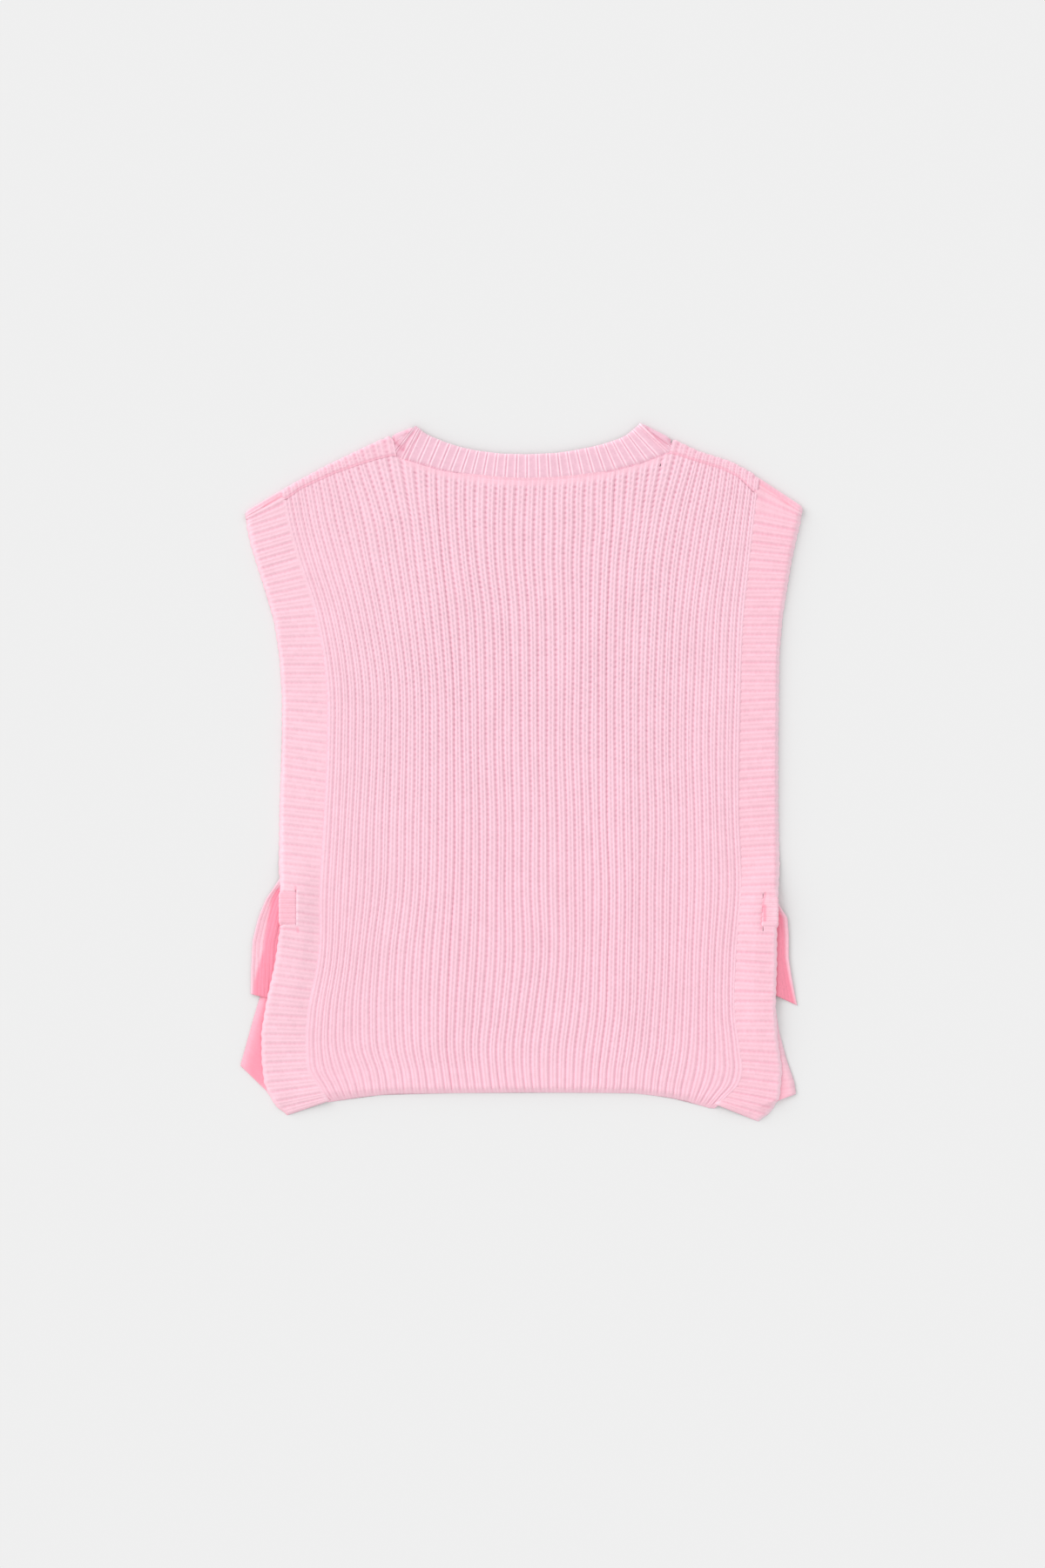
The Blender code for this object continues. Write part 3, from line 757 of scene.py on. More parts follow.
@dataclass(frozen=True)
class YarnFinish:
    """Colour and fine relief of knitted yarn. Colours are linear."""

    name: str
    knit: RibKnit
    yarn: Colour
    # Painted light: crest is a painted highlight on the legs, and groove, pit, heart and shade are
    # painted shade in the grooves, in the holes where stitches link, between a rib's legs and where the
    # painted_shade mark lies.
    crest_highlight: Colour
    groove: Colour
    pit_shade: Colour
    heart: Colour
    shade: Colour
    # Width and strength of the painted shade in the grooves, pits and hearts, and of the crests' painted
    # highlight.
    groove_shade_width: float = 0.13
    groove_shade_depth: float = 0.9
    plain_shade_depth: float = 0.0
    pit_shade_depth: float = 0.8
    heart_shade_depth: float = 0.7
    crest_highlight_depth: float = 1.0
    stitch_depth: float = 0.05
    rib_chance: float = 0.35
    heart_width: float = 0.1
    ply_turns: float = 3.0
    ply_lean: float = 9.0
    ply_depth: float = 0.12
    cloud_scale: float = 38.0
    cloud_depth: float = 0.07
    fibre_scale: float = 900.0
    fibre_depth: float = 0.14
    fuzz_scale: float = 1400.0
    bump_strength: float = 0.45
    roughness: float = 0.85
    sheen: float = 0.4

    def material(self) -> bpy.types.Material:
        """Make the finish's material.

        Returns:
            A material that reads the piece's knit map and marks.
        """
        material = bpy.data.materials.new(self.name)
        wire = Wiring(material)
        ribs, stitches = wire.knit_map()
        across = wire.math("ABSOLUTE", wire.math("SUBTRACT", wire.math("FRACT", ribs), 0.5))
        along = wire.math("FRACT", stitches)
        plain = wire.attribute("plain")
        dotted = wire.math("SUBTRACT", 1.0, plain)
        lean = wire.math("MULTIPLY", wire.math("SUBTRACT", along, 0.5), self.knit.leg_spread)
        leg_at = wire.math("ADD", wire.math("MULTIPLY", lean, dotted), self.knit.leg_at)
        beside = wire.math("SUBTRACT", across, leg_at)
        leg = wire.hump(beside, self.knit.leg_width)
        place = KnitPlace(ribs, stitches, across, along, beside, leg, dotted)
        wire.feed(wire.shader.inputs["Base Color"], self._yarn_colour_and_painted_light(wire, place))
        wire.shader.inputs["Roughness"].default_value = self.roughness
        wire.shader.inputs["Sheen Weight"].default_value = self.sheen
        wire.shader.inputs["Sheen Roughness"].default_value = 0.6
        wire.shader.inputs["Specular IOR Level"].default_value = 0.2
        wire.feed(wire.shader.inputs["Normal"], self._relief(wire, place))
        return material

    def _yarn_colour_and_painted_light(self, wire: Wiring, place: KnitPlace) -> Socket:
        """Colour the yarn, with painted shade in the grooves, the links and the hollows, and a painted
        highlight on the legs' crests.

        Args:
            wire: Makes the nodes.
            place: Where on the knit the surface is.

        Returns:
            The colour.
        """
        gap = wire.math("SUBTRACT", 0.5, place.across)
        opening = wire.math("MULTIPLY_ADD", wire.attribute("spread"), 0.6, 0.4)
        in_link = wire.wave(place.along, self.knit.groove_turn)
        swing = wire.math("MULTIPLY_ADD", wire.product(in_link, place.dotted), self.knit.zigzag, 1.0)
        groove = wire.hump(gap, wire.product(opening, swing, self.groove_shade_width))
        rib_draw = wire.chance(wire.math("ROUND", place.ribs), 0.5, 0.0)
        rib_luck = wire.math("MULTIPLY_ADD", rib_draw, self.rib_chance, 1 - self.rib_chance)
        deeper = wire.math("MULTIPLY_ADD", place.dotted, -self.plain_shade_depth, 1 + self.plain_shade_depth)
        groove_share = wire.product(groove, opening, rib_luck, deeper, self.groove_shade_depth)
        half_rib = wire.math("FLOOR", wire.math("MULTIPLY", place.ribs, 2.0))
        cell = (half_rib, wire.math("FLOOR", place.stitches))
        luck = wire.math("MULTIPLY_ADD", wire.chance(*cell, 1.0), 0.7, 0.5)
        pit_shade_share = wire.product(groove, in_link, place.dotted, luck, self.pit_shade_depth)
        in_heart = wire.wave(place.along, self.knit.heart_turn)
        heart = wire.hump(place.across, self.heart_width)
        heart_share = wire.product(heart, in_heart, place.dotted, luck, self.heart_shade_depth)
        # Painted highlight on the crests, then painted shade in the hearts, grooves, pits and where the
        # painted_shade mark lies; the noise below is the yarn's own uneven tone.
        colour = wire.mix(wire.product(place.leg, self.crest_highlight_depth), self.yarn, self.crest_highlight)
        colour = wire.mix(heart_share, colour, self.heart)
        colour = wire.mix(groove_share, colour, self.groove)
        colour = wire.mix(pit_shade_share, colour, self.pit_shade)
        colour = wire.mix(wire.attribute("painted_shade"), colour, self.shade)
        cloud = wire.about_one(wire.noise(self.cloud_scale), self.cloud_depth)
        fibre = wire.about_one(wire.noise(self.fibre_scale, 3.0), self.fibre_depth)
        stitch = wire.about_one(wire.chance(*cell, 2.0), self.stitch_depth)
        node = wire.tree.nodes.new("ShaderNodeVectorMath")
        node.operation = "SCALE"
        wire.feed(node.inputs[0], colour)
        wire.feed(node.inputs["Scale"], wire.product(cloud, fibre, stitch))
        return node.outputs[0]

    def _relief(self, wire: Wiring, place: KnitPlace) -> Socket:
        """Add the yarn's plies and its fuzz.

        Args:
            wire: Makes the nodes.
            place: Where on the knit the surface is.

        Returns:
            The surface's normal.
        """
        lean = wire.math("MULTIPLY", place.beside, self.ply_lean)
        turn = wire.math("MULTIPLY_ADD", place.along, self.ply_turns, lean)
        ply = wire.math("SINE", wire.math("MULTIPLY", turn, 2 * math.pi))
        height = wire.math("MULTIPLY_ADD", ply, self.ply_depth, place.leg)
        height = wire.math("MULTIPLY", height, wire.math("MULTIPLY_ADD", place.dotted, 0.7, 0.3))
        loops = wire.bump(height, self.bump_strength, 0.5 * MM)
        return wire.bump(wire.noise(self.fuzz_scale, 3.0), 0.3, 0.25 * MM, loops)


BODY_KNIT = RibKnit()
TRIM_KNIT = RibKnit(rise=0.7, groove_share=0.2, zigzag=0.2, leg_share=0.2, bead_share=0.2,
                    heart_share=0.05, purl_share=0.15)
BAND_KNIT = RibKnit(rise=0.75, groove_share=0.1, zigzag=0.1, leg_at=0.36, leg_spread=0.0,
                    leg_width=0.08, leg_share=0.35, bead_share=0.1, heart_share=0.0, purl_share=0.0)
STRAP_KNIT = RibKnit(rise=0.25, groove_share=0.3, zigzag=0.2, leg_share=0.2, bead_share=0.2,
                     heart_share=0.0, purl_share=0.1)

# The crest colours are painted highlights and the groove, pit, heart and shade colours painted shade;
# yarn is the wool's own pink.
BODY_FINISH = YarnFinish(
    name="body_rib_knit",
    knit=BODY_KNIT,
    yarn=(0.93, 0.57, 0.67), crest_highlight=(0.97, 0.635, 0.73), groove=(0.92, 0.45, 0.57),
    pit_shade=(0.64, 0.26, 0.36), heart=(0.68, 0.44, 0.53), shade=(0.93, 0.38, 0.50),
    groove_shade_depth=0.3, plain_shade_depth=0.8, pit_shade_depth=0.66,
)
TRIM_FINISH = YarnFinish(
    name="trim_rib_knit",
    knit=TRIM_KNIT,
    yarn=(0.93, 0.62, 0.71), crest_highlight=(0.95, 0.645, 0.735), groove=(0.90, 0.52, 0.63),
    pit_shade=(0.86, 0.48, 0.58), heart=(0.86, 0.57, 0.66), shade=(0.96, 0.29, 0.40),
    groove_shade_width=0.14, groove_shade_depth=0.85, pit_shade_depth=0.5, heart_shade_depth=0.3,
    bump_strength=0.3, rib_chance=0.6,
)
BAND_FINISH = YarnFinish(
    name="neckband_knit",
    knit=BAND_KNIT,
    yarn=(0.85, 0.515, 0.62), crest_highlight=(1.0, 0.70, 0.79), groove=(0.86, 0.42, 0.54),
    pit_shade=(0.88, 0.46, 0.57), heart=(0.84, 0.50, 0.61), shade=(0.80, 0.33, 0.44),
    groove_shade_width=0.06, pit_shade_depth=0.2, heart_shade_depth=0.2, bump_strength=0.3,
)
STRAP_FINISH = YarnFinish(
    name="strap_knit",
    knit=STRAP_KNIT,
    yarn=(0.94, 0.58, 0.675), crest_highlight=(0.96, 0.61, 0.70), groove=(0.93, 0.53, 0.64),
    pit_shade=(0.90, 0.48, 0.58), heart=(0.90, 0.55, 0.65), shade=(0.95, 0.27, 0.38),
    groove_shade_depth=0.6, pit_shade_depth=0.3, heart_shade_depth=0.1, bump_strength=0.25,
)


@dataclass
class Dresser:
    """Gives finished sheets their material and their place in the frame."""

    materials: dict[str, bpy.types.Material] = field(default_factory=dict)

    def dress(self, piece: bpy.types.Object, finish: YarnFinish, slot: Slot, replaced: str,
              area: float) -> None:
        """Args:
            piece: The sheet.
            finish: Its yarn.
            slot: The record's slot that it stands for; not used.
            replaced: The solid that it takes the place of.
            area: Flat area of the cut, in square millimetres; not used.
        """
        if finish.name not in self.materials:
            self.materials[finish.name] = finish.material()
        piece.data.materials.append(self.materials[finish.name])
        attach(piece, ROOT_BODY)
        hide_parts(replaced)
        log.info("%s: %d faces", piece.name, len(piece.data.polygons))


def plan_area(points: Array) -> float:
    """Area of a grid of plan points."""
    first, second = points[1:, 1:] - points[:-1, :-1], points[1:, :-1] - points[:-1, 1:]
    return np.abs(first[..., 0] * second[..., 1] - first[..., 1] * second[..., 0]).sum() / 2


# -------- body


class Lines(NamedTuple):
    """Cross lines of a strip of knit: two ends each, outward directions and numbers in ribs."""

    start: Array
    end: Array
    outward: Array
    ribs: Array | None = None


@dataclass
class BodyLayout:
    """What the back, the front and the trims share: where the ribs run, and the layers' levels."""

    ribs: int = 52
    numbers: tuple[int, ...] = (1, 6, 11, 16, 21, 26, 31, 36, 41, 46, 51)
    places: tuple[tuple[float, ...], ...] = (
        # height, where the grooves with those numbers are
        (-260.9, -154.6, -126.4, -94.8, -62.1, -29.9, 3.3, 35.2, 66.3, 97.9, 129.2, 160.3),
        (-251.7, -159.4, -127.7, -95.5, -63.1, -31.0, 2.3, 35.5, 68.2, 98.8, 130.6, 168.4),
        (-241.1, -165.8, -130.1, -96.9, -64.6, -32.3, 1.2, 35.8, 68.9, 99.8, 133.1, 171.8),
        (-223.5, -168.5, -135.9, -101.1, -67.2, -33.8, 0.9, 36.6, 71.2, 102.6, 135.8, 170.9),
        (-195.2, -167.5, -137.0, -102.9, -67.5, -31.6, 4.1, 40.1, 74.9, 105.0, 137.4, 168.0),
        (-149.3, -159.5, -132.9, -101.4, -65.4, -28.1, 9.1, 43.6, 76.2, 107.7, 138.6, 168.6),
        (-92.9, -157.6, -127.3, -95.4, -62.0, -27.0, 7.7, 43.9, 77.4, 108.1, 140.9, 172.6),
        (-36.4, -154.2, -125.0, -94.1, -60.8, -26.7, 7.9, 43.0, 76.0, 108.9, 140.5, 170.8),
        (20.1, -151.8, -122.6, -92.9, -60.9, -28.3, 6.9, 41.3, 75.5, 107.8, 139.1, 170.4),
        (76.6, -152.4, -122.9, -93.4, -61.9, -28.6, 6.7, 41.9, 75.5, 108.1, 140.4, 172.0),
        (133.1, -162.2, -132.3, -100.5, -66.5, -30.7, 5.4, 42.0, 76.4, 110.9, 143.3, 174.8),
        (175.4, -175.6, -143.0, -107.5, -71.7, -35.7, 2.6, 41.6, 78.8, 114.0, 149.1, 179.5),
        (203.7, -183.3, -150.0, -112.0, -74.6, -37.3, 2.7, 42.7, 81.7, 118.4, 153.6, 182.8),
        (224.8, -187.3, -154.2, -117.5, -76.5, -37.2, 3.5, 42.7, 83.2, 123.0, 157.4, 185.5),
        (241.8, -190.2, -158.0, -122.9, -77.2, -36.6, 4.0, 43.8, 84.4, 127.8, 160.0, 187.5),
    )
    seam_ribs: dict[Side, float] = field(default_factory=lambda: {Side.LEFT: 0.55, Side.RIGHT: 0.9})
    stitch: float = 4.0
    neck_first: float = 13.6
    neck_last: float = 39.6
    front_wall: float = 2.4
    back_level: float = 2.7
    fold_radius: float = 0.15
    taper: float = 2.5
    full_droop: float = 3.0
    unevenness: float = 0.05
    wander: float = 0.035
    wander_length: float = 21.0
    seed: int = 11
    searches: int = 8
    corner_rise: float = 0.4
    level_slack: float = 0.01
    slopes: dict[Side, float] = field(default_factory=lambda: {Side.LEFT: 27.0, Side.RIGHT: 26.5})

    def __post_init__(self) -> None:
        """Spread the ribs a little unevenly."""
        draws = np.random.default_rng(self.seed)
        self.shifts = np.clip(draws.normal(0.0, self.unevenness, self.ribs + 1), -0.1, 0.1)
        self.phases = draws.uniform(0.0, 2 * math.pi, self.ribs + 1)
        self.shifts[[0, -1]] = 0.0

    def line(self, ribs: Array, y: Array) -> Array:
        """Where ribs are at heights.

        Args:
            ribs: Numbers of ribs, for the columns.
            y: Heights, for the columns or for rows of them.

        Returns:
            Places across the vest.
        """
        table = np.array(self.places)
        heights = y.ravel()
        known, columns = table[:, 0], table[:, 1:].T
        drawn = np.stack([smooth_curve(known, column, heights) for column in columns], -1)
        at = np.broadcast_to(ribs, y.shape).ravel()
        whole = np.arange(self.ribs + 1)
        shift = np.interp(at, whole, self.shifts)
        swing = np.sin(heights / self.wander_length + self.phases[np.round(at).astype(int)])
        near = 1 - 2 * np.abs(at - np.round(at))
        at = at + shift + self.wander * swing * near
        return smooth_curve(np.array(self.numbers, float), drawn, at).reshape(y.shape)

    def meet(self, ribs: Array, edge: tuple[Array, Array], back: float = 0.0) -> Array:
        """Points where ribs meet an edge of a plan.

        Args:
            ribs: Numbers of ribs.
            edge: Places and heights of the edge.
            back: How far below the edge to stop.

        Returns:
            Plan points, one for each rib.
        """
        y = np.full(len(ribs), float(np.median(edge[1])))
        for _ in range(self.searches):
            y = np.interp(self.line(ribs, y), *edge) - back
        return np.stack([self.line(ribs, y), y], axis=-1)

    def droop(self, beyond: Array, overhang: Array) -> Array:
        """How far the upper layer comes down where it reaches past the lower one.

        Args:
            beyond: How far points lie past the lower layer's edge.
            overhang: How far the upper layer's own edge lies past it.

        Returns:
            The drop, up to the floor where the upper layer reaches far enough.
        """
        beyond, overhang = beyond + self.taper, overhang + self.taper
        drop = (self.back_level - EDGE) * np.clip(overhang / self.full_droop, 0.0, 1.0)
        return drop * ease(beyond / np.maximum(overhang, 0.5))

    def lower_plan(self, node: str) -> Outline:
        """Plan of a solid where it lies in the lower layer."""
        return Outline(node, highest=self.front_wall + self.level_slack)

    def upper_plan(self, node: str) -> Outline:
        """Plan of a solid where it lies in the upper layer."""
        return Outline(node, lowest=self.back_level - self.level_slack)

    def back_shape(self) -> PlanShape:
        """Plan of the back."""
        return PlanShape(Outline("back_panel"), self.corner_rise)

    def front_shape(self) -> PlanShape:
        """Plan of the front, without what is folded over."""
        return PlanShape(self.lower_plan("front_panel"), self.corner_rise)

    def fold_normal(self, side: Side) -> tuple[float, float]:
        """Unit plan vector that points out of the vest across a shoulder's fold."""
        slope = math.radians(self.slopes[side])
        return side.value * math.sin(slope), math.cos(slope)


BODY = BodyLayout()


def rib_columns(first: float, last: float, offsets: tuple[float, ...]) -> Array:
    """Place the columns of points, the same few in each rib.

    Args:
        first: The first column's place, in ribs.
        last: The last one's.
        offsets: Places within a rib.

    Returns:
        The places, in ribs.
    """
    whole = np.arange(math.floor(first), math.ceil(last))
    places = (whole[:, None] + np.array(offsets)).ravel()
    places = places[(places > first + LEAST_STEP) & (places < last - LEAST_STEP)]
    return np.concatenate([[first], places, [last]])


@dataclass
class BackPanel:
    """The ribbed back, uppermost, in strips of ribs that meet in their grooves."""

    node: str = "back_panel"
    strips: tuple[int, ...] = (0, 17, 35, 52)
    offsets: tuple[float, ...] = tuple(tenth / 10 for tenth in range(10))
    rows_per_stitch: int = 4
    wall: float = 1.6
    edge_radius: float = 3.6
    hem_edge: float = 4.0
    hem_band: float = 19.0
    hem_fade: float = 4.0
    hem_rise: float = 0.6
    link_band: float = 6.5
    link_rise: float = 0.65
    link_shade: float = 0.1
    neck_shade: float = 0.2
    neck_width: float = 0.6
    seam_width: float = 1.1
    seam_depth: float = 0.6
    seam_shade: dict[Side, float] = field(default_factory=lambda: {Side.LEFT: 0.45, Side.RIGHT: 0.75})
    left_depth: float = 0.05
    right_depth: float = 0.06
    hem_drop: Table = (
        # x, how far the hem comes down to meet the right trim
        (134.0, 0.0), (144.0, 1.6), (155.0, 3.8), (162.0, 4.2),
    )
    spread_across: Table = (
        # x, how far apart the ribs stand
        (-175.0, 0.1), (-162.0, 0.2), (-120.0, 0.5), (-70.0, 0.8), (-40.0, 0.9), (60.0, 0.9),
        (105.0, 0.8), (135.0, 0.64), (170.0, 0.42),
    )
    clear_across: Table = (
        # x, how clear the stitches are
        (-165.0, 0.6), (-120.0, 0.85), (-70.0, 1.0), (105.0, 1.0), (135.0, 0.95), (172.0, 0.85),
    )
    clear_along: Table = (
        # y, how clear the stitches are
        (-244.0, 0.3), (-212.0, 0.55), (-170.0, 0.65), (-71.0, 0.72), (-22.0, 0.82), (27.0, 0.92),
        (77.0, 1.0),
    )
    depth_along: Table = (
        # y, how much deeper the colour is
        (-260.0, 0.13), (-120.0, 0.11), (0.0, 0.05), (120.0, 0.01),
    )
    creases: tuple[Crease, ...] = (
        Crease(((-150.0, -190.0), (-140.0, 120.0)), 26.0, 1.1),
        Crease(((84.0, -225.0), (86.0, 20.0)), 17.0, 0.9),
        Crease(((20.0, -120.0), (10.0, -10.0)), 22.0, 0.5),
        Crease(((-60.0, -200.0), (-75.0, -60.0)), 24.0, 0.5),
        Crease(((107.0, 172.0), (2.0, 40.0)), 15.0, 0.5),
        Crease(((150.0, -150.0), (160.0, 60.0)), 18.0, 0.7),
        Crease(((-80.0, 120.0), (-20.0, 200.0)), 24.0, 0.5),
    )

    def build(self, dresser: Dresser) -> None:
        """Make and dress the back's strips.

        Args:
            dresser: Gives their finish.
        """
        shape = BODY.back_shape()
        rows = round((shape.high_left[1] - shape.low_left[1]) / BODY.stitch) * self.rows_per_stitch
        along = shares(rows)
        for number, (first, last) in enumerate(zip(self.strips, self.strips[1:]), 1):
            ribs = rib_columns(first, last, self.offsets)
            low_x, low = BODY.meet(ribs, shape.low).T
            low = low - read_table(self.hem_drop, low_x)
            high = BODY.meet(ribs, shape.high)[:, 1]
            y = low + (high - low) * along[:, None]
            points = np.stack([BODY.line(ribs, y), y], axis=-1)
            piece = self._strip(f"back_knit_{number}", points, ribs, along)
            dresser.dress(piece, BODY_FINISH, Slot.BODY, self.node, plan_area(points))

    def _strip(self, name: str, points: Array, ribs: Array, along: Array) -> bpy.types.Object:
        """Make one strip of the back.

        Args:
            name: The strip's name.
            points: Plan points.
            ribs: Numbers of the columns in ribs.
            along: Shares of the rows from the hem to the top.

        Returns:
            The strip.
        """
        x, y = points[..., 0], points[..., 1]
        ribs_at = np.broadcast_to(ribs, x.shape)
        length = y[-1] - y[0]
        rows = (len(along) - 1) / self.rows_per_stitch
        stitches = along[:, None] * rows + 0 * x
        from_hem = along[:, None] * length
        from_top = (1 - along[:, None]) * length
        at_neck = ease((ribs - BODY.neck_first) / 1.5) * ease((BODY.neck_last - ribs) / 1.5)
        linked = at_neck * (1 - ease((from_top - self.link_band * 0.4) / (self.link_band * 0.6)))
        plain = np.maximum(1 - ease((from_hem - self.hem_band) / self.hem_fade), 0.8 * linked)
        plain = 1 - (1 - plain) * self._clearness(x, y)
        spread = read_table(self.spread_across, x)
        knit = BODY_KNIT.relief(ribs_at, stitches, plain, spread)
        knit = knit * (1 - linked) + self.link_rise * linked
        ribbed = ease((from_hem - 0.5) / self.hem_edge)
        knit = knit * ribbed + self.hem_rise * (1 - ribbed)
        height = (self.wall + knit) * rim(from_hem + EDGE, self.edge_radius)
        at_seam = (1 - at_neck) * bell(from_top, self.seam_width)
        height = height - self.seam_depth * at_seam
        front_hem = BODY.front_shape().low
        past_front = np.interp(x, *front_hem) - y
        level = BODY.back_level + raising(self.creases, points) - BODY.droop(past_front, past_front[0])
        inner = np.stack([x, y, level], axis=-1)
        # Painted shade along the shoulder seams, under the neckband's link and at the neck's top edge,
        # with a colour that deepens towards the hem and the sides.
        seam_shade = np.where(x > 0, self.seam_shade[Side.RIGHT], self.seam_shade[Side.LEFT]) * at_seam
        painted_shade = seam_shade + self._depth(x, y) + self.link_shade * linked
        painted_shade = painted_shade + self.neck_shade * at_neck * bell(from_top, self.neck_width)
        marks = {"painted_shade": np.clip(painted_shade, 0.0, 1.0), "plain": plain,
                 "spread": spread * (1 - linked) * ribbed}
        outward = np.broadcast_to(UP, inner.shape)
        return KnitSheet(name, inner, outward, height, ribs_at, stitches, marks).build()

    def _depth(self, x: Array, y: Array) -> Array:
        """How much deeper the colour is at plan points: more to the hem and to the sides."""
        right, left = ease((x - 100.0) / 50.0), ease((-x - 110.0) / 50.0)
        return read_table(self.depth_along, y) + self.right_depth * right + self.left_depth * left

    def _clearness(self, x: Array, y: Array) -> Array:
        """How clear the stitches are at plan points: less to the sides and to the hem."""
        across = read_table(self.clear_across, x)
        return (across + (1 - across) * ease((y - 160.0) / 55.0)) * read_table(self.clear_along, y)


@dataclass
class FrontPanel:
    """The ribbed front: face down under the back, and folded over it at the shoulders."""

    node: str = "front_panel"
    offsets: tuple[float, ...] = SIX_TO_A_RIB
    rows_per_stitch: int = 2
    wall: float = 1.35
    fold_wall: float = 2.3
    fold_knit: float = 0.3
    fold_rows: int = 8
    strip_rows: int = 24
    lap: float = 0.8
    seam_width: float = 1.0
    seam_depth: float = 0.5
    seam_shade: float = 0.45
    fold_shade: float = 0.1
    reach: float = 0.12
    under_trim: float = 9.0
    edge_radius: float = 2.2

    def build(self, dresser: Dresser) -> None:
        """Make and dress the three strips: under each shoulder and under the neck.

        Args:
            dresser: Gives their finish.
        """
        shape = BODY.front_shape()
        spans = (
            ("front_knit_left", 0.0, BODY.neck_first + self.reach, Side.LEFT),
            ("front_knit_neck", BODY.neck_first + self.reach, BODY.neck_last - self.reach, None),
            ("front_knit_right", BODY.neck_last - self.reach, float(BODY.ribs), Side.RIGHT),
        )
        for name, first, last, shoulder in spans:
            ribs = rib_columns(first, last, self.offsets)
            self._strip(name, shape, ribs, shoulder, dresser)

    def _strip(self, name: str, shape: PlanShape, ribs: Array, shoulder: Side | None,
               dresser: Dresser) -> None:
        """Make and dress one strip of the front.

        Args:
            name: The strip's name.
            shape: Plan of the whole front.
            ribs: Numbers of the columns in ribs.
            shoulder: The side, for a strip that is folded over.
            dresser: Gives its finish.
        """
        stitches = round((shape.high_left[1] - shape.low_left[1]) / BODY.stitch)
        along = shares(stitches * self.rows_per_stitch)
        points = shape.at(ribs / BODY.ribs, along)
        if shoulder:
            axis = self._axis(ribs, shoulder)
            points = points + (axis - points[-1]) * ease(along * 6 - 5)[:, None, None]
        inner = np.concatenate([points, np.full((*points.shape[:2], 1), BODY.front_wall)], axis=-1)
        outward = np.broadcast_to(DOWN, inner.shape)
        row_at = along * stitches
        wall = np.full(len(row_at), self.wall)
        share = np.full(len(row_at), (BODY.front_wall - self.wall) / BODY_KNIT.rise)
        if shoulder:
            fold = self._fold(ribs, points[-1], shoulder)
            inner = np.concatenate([inner, fold[0]])
            outward = np.concatenate([outward, fold[1]])
            raised = ease(np.arange(1, len(fold[0]) + 1) / self.fold_rows * 2)
            wall = np.concatenate([wall, self.wall + (self.fold_wall - self.wall) * raised])
            share = np.concatenate([share, np.full(len(fold[0]), self.fold_knit)])
            ahead = np.linalg.norm(np.diff(fold[0].mean(axis=1), axis=0), axis=-1)
            more = np.concatenate([[1.0], 1.0 + np.cumsum(np.maximum(ahead, 0.5))])
            row_at = np.concatenate([row_at, stitches + more / BODY.stitch])
        ribs_at = np.broadcast_to(ribs, inner.shape[:2])
        stitches_at = np.broadcast_to(row_at[:, None], inner.shape[:2])
        over = (outward[..., 2] > -0.9) * 1.0
        relief = BODY_KNIT.relief(ribs_at, stitches_at, 0.3 * over) * share[:, None]
        from_hem = (row_at * BODY.stitch)[:, None]
        height = wall[:, None] + relief
        dent = height * (1 - rounding(from_hem + INNER_EDGE, self.edge_radius))
        sewn = 0.0
        if shoulder:
            sewn = bell(inner[..., 1] - self._seam(ribs)[:, 1], self.seam_width) * over
            height = height - self.seam_depth * sewn
        # Painted shade over the folded-over cloth and along its seam.
        marks = {"painted_shade": np.clip(self.fold_shade * over + self.seam_shade * sewn, 0.0, 1.0),
                 "plain": 0.3 * over, "spread": 1 - 0.45 * over}
        piece = KnitSheet(name, inner, outward, height, ribs_at, stitches_at, marks, dent).build()
        width = np.ptp(inner[..., 0], axis=1).max()
        length = (row_at[-1] - row_at[0]) * BODY.stitch
        area = plan_area(points) + (length - stitches * BODY.stitch) * width
        dresser.dress(piece, BODY_FINISH, Slot.BODY, self.node, area)

    def _axis(self, ribs: Array, shoulder: Side) -> Array:
        """Find a shoulder's fold, as far inside the outline as the cloth is thick.

        Args:
            ribs: Numbers of the ribs.
            shoulder: The side.

        Returns:
            Plan points.
        """
        reach = BODY.fold_radius + self.fold_wall + self.fold_knit * BODY_KNIT.rise
        outlines = Outline(self.node), Outline(f"trim_{shoulder.word}")
        start, end = self._span(BODY.upper_plan(self.node), shoulder)
        if shoulder is Side.LEFT:
            start -= self.under_trim
        else:
            end += self.under_trim
        places = np.linspace(start, end, 100)
        tops = np.array([highest(outlines, x) for x in places])
        return BODY.meet(ribs, (places, tops), reach / BODY.fold_normal(shoulder)[1])

    def _seam(self, ribs: Array) -> Array:
        """Plan points where ribs come down to the shoulder's seam."""
        return BODY.meet(ribs, BODY.back_shape().high)

    def _fold(self, ribs: Array, axis: Array, shoulder: Side) -> tuple[Array, Array]:
        """Rows of the cloth that goes over a shoulder and down to its seam.

        Args:
            ribs: Numbers of the ribs.
            axis: Plan points of the fold.
            shoulder: The side.

        Returns:
            Inner points and outward directions.
        """
        normal_x, normal_y = BODY.fold_normal(shoulder)
        inner, outward = [], []
        centre = np.concatenate([axis, np.full((len(axis), 1), BODY.front_wall + BODY.fold_radius)], -1)
        for turn in np.linspace(0.0, math.pi, self.fold_rows + 1)[1:]:
            reach, rise = math.sin(turn), math.cos(turn)
            direction = np.array((normal_x * reach, normal_y * reach, -rise))
            inner.append(centre + direction * BODY.fold_radius)
            outward.append(np.broadcast_to(direction, centre.shape))
        seam = self._seam(ribs)
        for share in shares(self.strip_rows)[1:]:
            y = axis[:, 1] + (seam[:, 1] - self.lap - axis[:, 1]) * share
            inner.append(np.stack([BODY.line(ribs, y), y, np.full(len(y), BODY.back_level)], axis=-1))
            outward.append(np.broadcast_to(UP, centre.shape))
        return np.array(inner), np.array(outward)

    @staticmethod
    def _span(outline: Outline, shoulder: Side) -> tuple[float, float]:
        """Places of a shoulder's two ends, a little inside."""
        x = outline.points[outline.points[:, 0] * shoulder.value > 0, 0]
        return float(x.min()) + 0.05, float(x.max()) - 0.05


# -------- neckband


